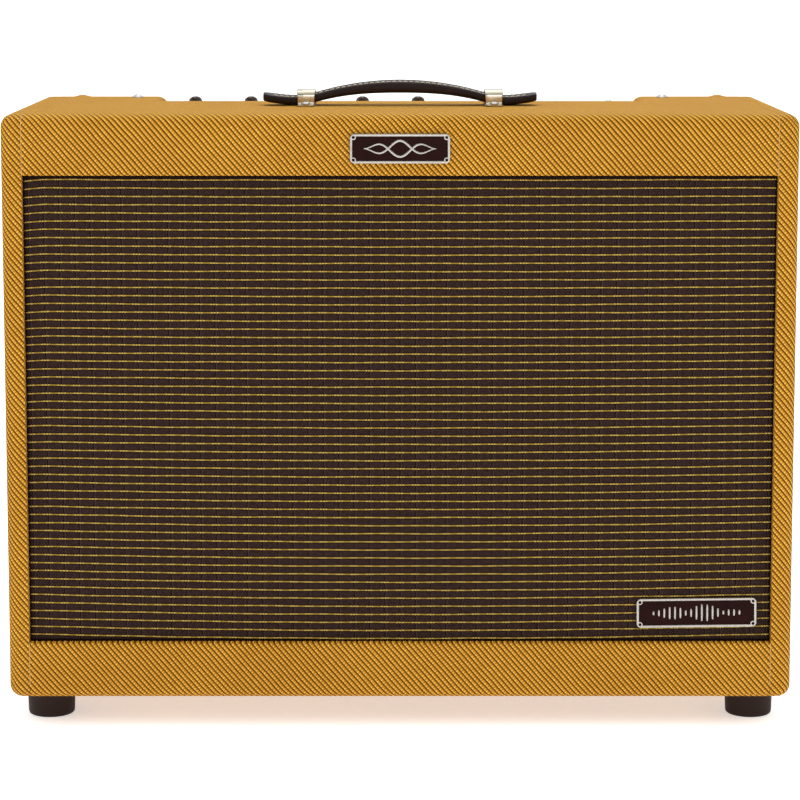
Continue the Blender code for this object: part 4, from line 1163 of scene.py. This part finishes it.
def valve(node):
    """A glass valve that hangs from its socket: anode box, mica discs, support wires and getter."""
    low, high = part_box(node)
    x, y, _ = middle(node)
    radius, top, bottom = (high.x - low.x) / 2, high.z, low.z
    place, base, tip = at(x, y), top - 0.014, bottom + 0.006
    wall, neck = radius * 0.98, radius * 0.86
    socket = [(0, top), (wall, top), (wall, top - 0.003), (neck, top - 0.004), (neck, base), (0, base)]
    shape = Shape().add(turned(socket, 36), BLACK_PLASTIC, place)
    dome = tip + radius * 0.85
    outer = [(0, base + 0.001), (radius * 0.80, base + 0.001), (wall, base - 0.004), (wall, dome)]
    outer += [(wall * cos(t), dome - radius * 0.80 * sin(t)) for t in spread(0.2, 1.35, 6)]
    outer += [(0.0022, tip + 0.0005), (0.0012, bottom + 0.001), (0.0, bottom + 0.0002)]
    shape.add(turned(outer, 40), GLASS, place)
    plate_top, plate_low = base - 0.008, tip + radius * 0.95
    wide, deep = radius * 0.62, radius * 0.38
    plate = rounded_box((x - wide, y - deep, plate_low), (x + wide, y + deep, plate_top), 0.0012)
    shape.add(plate, ANODE)
    for z in (plate_low - 0.0012, plate_top + 0.0008):
        disc = [(0, z), (radius * 0.84, z), (radius * 0.84, z + 0.0005), (0, z + 0.0005)]
        shape.add(turned(disc, 28), MICA, place)
    shape.add(tube(circle(radius * 0.45, tip + radius * 0.55, 24), 0.0005, 6, closed=True), GETTER, place)
    for wire in (-0.7 * wide, 0.7 * wide):
        shape.add(tube([(wire, 0, plate_low - 0.001), (wire, 0, base)], 0.0004, 6), GETTER, place)
    mirror = [(radius * 0.93 * cos(t), dome - radius * 0.76 * sin(t)) for t in spread(0.5, 1.5, 5)]
    mirror += [(r - 0.0002, z + 0.0002) for r, z in mirror[::-1]]
    shape.add(turned(mirror, 32, loop=True), GETTER, place)
    shape.make("glass_" + node, "valve_glass", replaces=[node])


def transformer(node):
    """A stack of laminations with a pressed bell on each side, bolted through its corners."""
    low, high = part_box(node)
    x, y, z = middle(node)
    wide, depth, tall = high - low
    shape = Shape()
    core = (low.x, y - depth / 4, low.z), (high.x, y + depth / 4, high.z)
    shape.add(rounded_box(*core, 0.0006, 2), IRON)
    levels = [(0.0, 0.0), (depth / 4 - 0.007, 0.0), (depth / 4 - 0.003, 0.0012)]
    levels += [(depth / 4 - 0.0008, 0.0040), (depth / 4, 0.0075)]
    for side, turn in ((-1, FACING_FRONT), (1, FACING_BACK)):
        face = y + side * depth / 4
        bell = slab(rounded_outline(wide * 0.68, tall * 0.84, 0.007, 5), levels)
        shape.add(bell, BELL, at(x, face, z) @ turn)
        for across, up in corners(wide * 0.44, tall * 0.42):
            shape.add(hexagon(0.0070, 0.0, 0.0030), ZINC, at(x + across, face, z + up) @ turn)
    shape.make("wound_" + node, "transformer_paint", replaces=[node])


# ---------------------------------------------------------------- loudspeaker
SPEAKER = at(0, 0, (BASKET_LOW.z + BASKET_HIGH.z) / 2) @ FACING_BACK
SPEAKER_FACE, BASKET_REAR = BASKET_LOW.y, BASKET_HIGH.y
WINDOWS = 8


def outer_radius(node):
    return (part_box(node)[1].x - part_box(node)[0].x) / 2


def around(count, start=0.0):
    """Evenly spaced angles round a circle, the first one given in degrees."""
    return [radians(start + 360 / count * k) for k in range(count)]


def basket():
    """The pressed frame, turned in one piece, with windows cut through its cone."""
    face, rear, rim = SPEAKER_FACE, BASKET_REAR, outer_radius("speaker_basket")
    outside = [(rim, 0), (rim, 0.0016), (rim - 0.0006, 0.0028), (0.1462, 0.0030), (0.1452, 0.0040)]
    outside += [(0.1452, 0.0100), (0.1425, 0.0130), (0.1390, 0.0170), (0.1330, 0.0240), (0.1155, 0.0450)]
    outside += [(0.0980, 0.0655), (0.0930, 0.0685), (0.0850, 0.0700), (0.0815, 0.0720), (0.0720, 0.0850)]
    inside = [(0.0700, 0.0830), (0.0795, 0.0690), (0.0840, 0.0680), (0.0915, 0.0660), (0.0955, 0.0640)]
    inside += [(0.1135, 0.0430), (0.1308, 0.0225), (0.1368, 0.0155), (0.1402, 0.0115), (0.1425, 0.0090)]
    inside.append((0.1425, 0))
    bottom = [(0.0690, rear), (0.0300, rear), (0.0300, rear - 0.0022), (0.0680, rear - 0.0022)]
    profile = [(r, face + z) for r, z in outside] + bottom + [(r, face + z) for r, z in inside]
    frame_shape = Shape().add(turned(profile, 144, loop=True), FRAME_PAINT)
    window_middle, window_half, half_angle = 0.11225, 0.01875, radians(15)
    cutters = Shape()
    for turn in around(WINDOWS):
        outline = []
        for a, b in rounded_outline(2.0, 2.0, 0.35):
            r, angle = window_middle + window_half * a, turn + half_angle * b
            outline.append((r * cos(angle), r * sin(angle)))
        window = skin([[(x, y, z) for x, y in outline] for z in (face + 0.012, face + 0.075)])
        cutters.add(window, FRAME_PAINT)
    shell, cutter = frame_shape.solid("basket_shell"), cutters.solid("basket_windows")
    modifier = shell.modifiers.new("windows", "BOOLEAN")
    modifier.operation = "DIFFERENCE"
    modifier.object = cutter
    bpy.context.view_layer.update()
    evaluated = shell.evaluated_get(bpy.context.evaluated_depsgraph_get())
    result = bmesh.new()
    result.from_mesh(evaluated.to_mesh())
    bmesh.ops.transform(result, matrix=SPEAKER, verts=result.verts[:])
    bpy.data.objects.remove(shell)
    bpy.data.objects.remove(cutter)
    publish(result, "pressed_frame", [FRAME_PAINT], replaces=["speaker_basket"], sharp=30)


def magnet():
    """Ferrite ring between two steel plates, with the pole piece through its middle and four bolts."""
    radius, end = outer_radius("speaker_magnet"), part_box("speaker_magnet")[1].y
    start, bore = BASKET_REAR + GAP, 0.0060
    ring = [(0.0300, start + 0.0057), (radius - 0.001, start + 0.0057), (radius, start + 0.0067)]
    ring += [(radius, start + 0.0290), (radius - 0.001, start + 0.0300), (0.0300, start + 0.0300)]
    plate = [(bore, start + 0.0302), (0.0670, start + 0.0302), (0.0676, start + 0.0310)]
    plate += [(0.0660, start + 0.0350), (0.0600, end - 0.0004), (0.0590, end), (0.0120, end)]
    plate += [(0.0100, end - 0.0012), (bore, end - 0.0020)]
    shape = Shape().add(washer(0.0245, 0.0605, start, start + 0.0055, 64), ZINC, SPEAKER)
    shape.add(turned(ring, 72, loop=True), FERRITE, SPEAKER)
    shape.add(turned(plate, 64, loop=True), ZINC, SPEAKER)
    shape.add(washer(bore, 0.0204, start - 0.001, start + 0.0240, 40), ZINC, SPEAKER)
    for angle in around(4, 45):
        spot = SPEAKER @ at(0.046 * cos(angle), 0.046 * sin(angle), end - 0.0002)
        shape.add(hexagon(0.0075, -0.0006, 0.0016), ZINC, spot)
    shape.make("magnet_and_plates", "magnet_paint", replaces=["speaker_magnet"])


def frame_nuts():
    """Nuts on their studs round the rim, one between each two windows."""
    stud = [(0, 0), (0.0018, 0), (0.0018, 0.0060), (0.0012, 0.0066), (0, 0.0066)]
    nuts = Shape()
    for angle in around(WINDOWS, 180 / WINDOWS):
        spot = SPEAKER @ at(0.1497 * cos(angle), 0.1497 * sin(angle), SPEAKER_FACE + 0.0030)
        nuts.add(hexagon(0.0062, 0.0, 0.0032), ZINC, spot)
        nuts.add(turned(stud, 14), ZINC, spot)
    nuts.make("frame_nuts", "plated_steel")


CAP_RADIUS = 0.036
COIL_INNER, COIL_OUTER = 0.0217, 0.0233
RIBS_FROM, RIBS_TO, RIB_PITCH, RIB_HEIGHT = 0.072, 0.117, 0.0045, 0.0005


def cone_front(radius):
    """The cone's curve from its rim to the coil, with ribs over its middle."""
    curve = 0.048 - 0.295 * (radius - CAP_RADIUS) - 3.587 * (radius - CAP_RADIUS) * (radius - 0.080)
    ribbed = RIBS_FROM < radius < RIBS_TO
    rib = RIB_HEIGHT * sin(pi * (radius - RIBS_FROM) / RIB_PITCH) if ribbed else 0.0
    return SPEAKER_FACE + curve + rib


def cap_front(radius):
    return SPEAKER_FACE + 0.035 + 0.013 * (radius / CAP_RADIUS) ** 2


def cone():
    """Ribbed paper cone with its dust cap, glue line and coil former."""
    shape = Shape()
    radii = spread(COIL_OUTER, outer_radius("speaker_cone"), 84)
    shape.add(turned_sheet(radii, cone_front, 0.0009), PULP, SPEAKER)
    dome = [(radius, cap_front(radius)) for radius in spread(0.0, CAP_RADIUS, 14)]
    dome += [(radius, cap_front(radius) + 0.0007) for radius in spread(CAP_RADIUS, 0.0, 14)]
    shape.add(turned(dome, 96), SURROUND, SPEAKER)
    bead = arc((CAP_RADIUS + 0.0004, cone_front(CAP_RADIUS) - 0.0001), 0.0011, 0, 360, 10)[:-1]
    shape.add(turned(bead, 96, loop=True), SURROUND, SPEAKER)
    former = washer(COIL_INNER, COIL_OUTER, SPEAKER_FACE + 0.0490, SPEAKER_FACE + 0.0983, 64)
    shape.add(former, FIBRE, SPEAKER)
    shape.make("ribbed_cone", "cone_paper", "cone", ["speaker_cone"], sharp=50)


def corrugated(node, name, slot, finish, inner, place, height, waves, thickness, steps, gap=0.0):
    """A ring of cloth in half waves, from an inner radius to the part's rim, less a gap inside."""
    outer = outer_radius(node)

    def front(radius):
        return SPEAKER_FACE + place + height * sin(waves * pi * (radius - inner) / (outer - inner))

    sheet = turned_sheet(spread(inner + gap, outer, steps), front, thickness)
    shape = Shape().add(sheet, finish, SPEAKER)
    shape.make(name, slot, replaces=[node], sharp=60)


def suspension():
    rim = outer_radius("speaker_cone") + GAP
    pleats = {"place": 0.0045, "height": -0.0012, "waves": 5, "thickness": 0.0008, "steps": 40}
    corrugated("speaker_surround", "pleated_surround", "surround_cloth", SURROUND, rim, **pleats)
    folds = {"place": 0.0668, "height": 0.0010, "waves": 14, "thickness": 0.0006, "steps": 98, "gap": GAP}
    corrugated("speaker_spider", "corrugated_spider", "spider_cloth", SPIDER, COIL_OUTER, **folds)


def finish_carried_nodes():
    """Procedural finishes for the parts that keep their meshes from the frame."""
    finishes = {"baffle_board": BLACK_PAINT, "control_panel": PANEL, "circuit_board": FIBRE}
    finishes["mains_inlet"] = BLACK_PLASTIC
    for node in ("chassis", "input_jack", "toggle_switch_body"):
        finishes[node] = ZINC
    for number in range(1, 6):
        finishes[f"potentiometer_{number}"] = finishes[f"shaft_{number}"] = ZINC
    for node, material in finishes.items():
        mesh = frame["nodes"][node].data
        mesh.materials.clear()
        mesh.materials.append(material)


# ---------------------------------------------------------------- stage
def studio_world():
    """White to the eye; for light and reflections, a bright overhead panel above a darker band of room."""
    world = bpy.data.worlds.new("studio")
    bpy.context.scene.world = world
    world.use_nodes = True
    tree = world.node_tree
    background = tree.nodes["Background"]
    background.inputs["Color"].default_value = (1.0, 1.0, 1.0, 1.0)
    kinds = ("TexCoord", "SeparateXYZ", "ValToRGB", "Math", "LightPath", "Mix")
    nodes = [tree.nodes.new("ShaderNode" + kind) for kind in kinds]
    direction, height, bands, strength, seen, choice = nodes
    levels = [(0.0, 0.62), (0.08, 0.62), (0.16, 0.16), (0.44, 0.16), (0.56, 1.0), (1.0, 1.0)]
    fill_ramp(bands, [(place, (grey, grey, grey, 1.0)) for place, grey in levels])
    strength.operation = "MULTIPLY"
    strength.inputs[1].default_value = 1.4
    choice.inputs[3].default_value = 1.0
    tree.links.new(direction.outputs["Generated"], height.inputs[0])
    tree.links.new(height.outputs[2], bands.inputs[0])
    tree.links.new(bands.outputs[0], strength.inputs[0])
    tree.links.new(seen.outputs["Is Camera Ray"], choice.inputs[0])
    tree.links.new(strength.outputs[0], choice.inputs[2])
    tree.links.new(choice.outputs[0], background.inputs["Strength"])
    bpy.context.scene.view_settings.view_transform = "Standard"


def stage():
    """A pale sheet of paper that glows a little, and four large soft lights aimed at the cabinet."""
    half = 40.0
    mesh = bpy.data.meshes.new("studio_floor")
    square = [(-half, -half, 0), (half, -half, 0), (half, half, 0), (-half, half, 0)]
    mesh.from_pydata(square, [], [(0, 1, 2, 3)])
    paper = {"Specular_IOR_Level": 0.0, "Emission_Color": (1.0, 1.0, 1.0, 1.0), "Emission_Strength": 0.5}
    mesh.materials.append(Finish("studio_paper", (248, 250, 252), 1.0, **paper).material)
    link("studio_floor", mesh)
    studio_world()
    aim = Vector((0, 0, 0.25))
    lights = [("key_light", (-0.9, -2.4, 2.6), 1.4, 1.6), ("front_light", (0.3, -3.2, 0.2), 1.6, 8.4)]
    lights += [("back_light", (0.4, 2.4, 2.4), 1.4, 11.0), ("top_light", (0.0, 0.2, 2.8), 1.8, 10.0)]
    for name, spot, size, watts in lights:
        light = bpy.data.lights.new(name, "AREA")
        light.size = size
        light.energy = watts
        panel = link(name, light)
        panel.location = spot
        panel.rotation_euler = (aim - Vector(spot)).to_track_quat("-Z", "Y").to_euler()


def camera():
    """A long lens, a little above the cabinet and pitched down at it."""
    pitch_down = 7.211
    lens = bpy.data.cameras.new("camera")
    lens.sensor_width = 36
    lens.lens = 124.0
    lens.shift_y = -0.134
    viewer = link("camera", lens)
    viewer.location = (0, -2.223, 0.6073)
    viewer.rotation_euler = (radians(90 - pitch_down), 0, 0)
    bpy.context.scene.camera = viewer


camera()
stage()
covered_boards()
grille_cloth()
handle()
chassis_screws()
badge("front_badge", 0.0, string_motif)
badge("grille_badge", 0.7, pulse_motif)
for along in ("front", "rear"):
    for across in ("left", "right"):
        foot(f"foot_{along}_{across}")
for knob_number in range(1, 6):
    knob(knob_number)
toggle()
lamp()
jack_lining()
dial_marks()
back_screws()
for valve_node in ("preamp_valve_1", "preamp_valve_2", "power_valve_1", "power_valve_2"):
    valve(valve_node)
transformer("power_transformer")
transformer("output_transformer")
basket()
magnet()
frame_nuts()
cone()
suspension()
finish_carried_nodes()
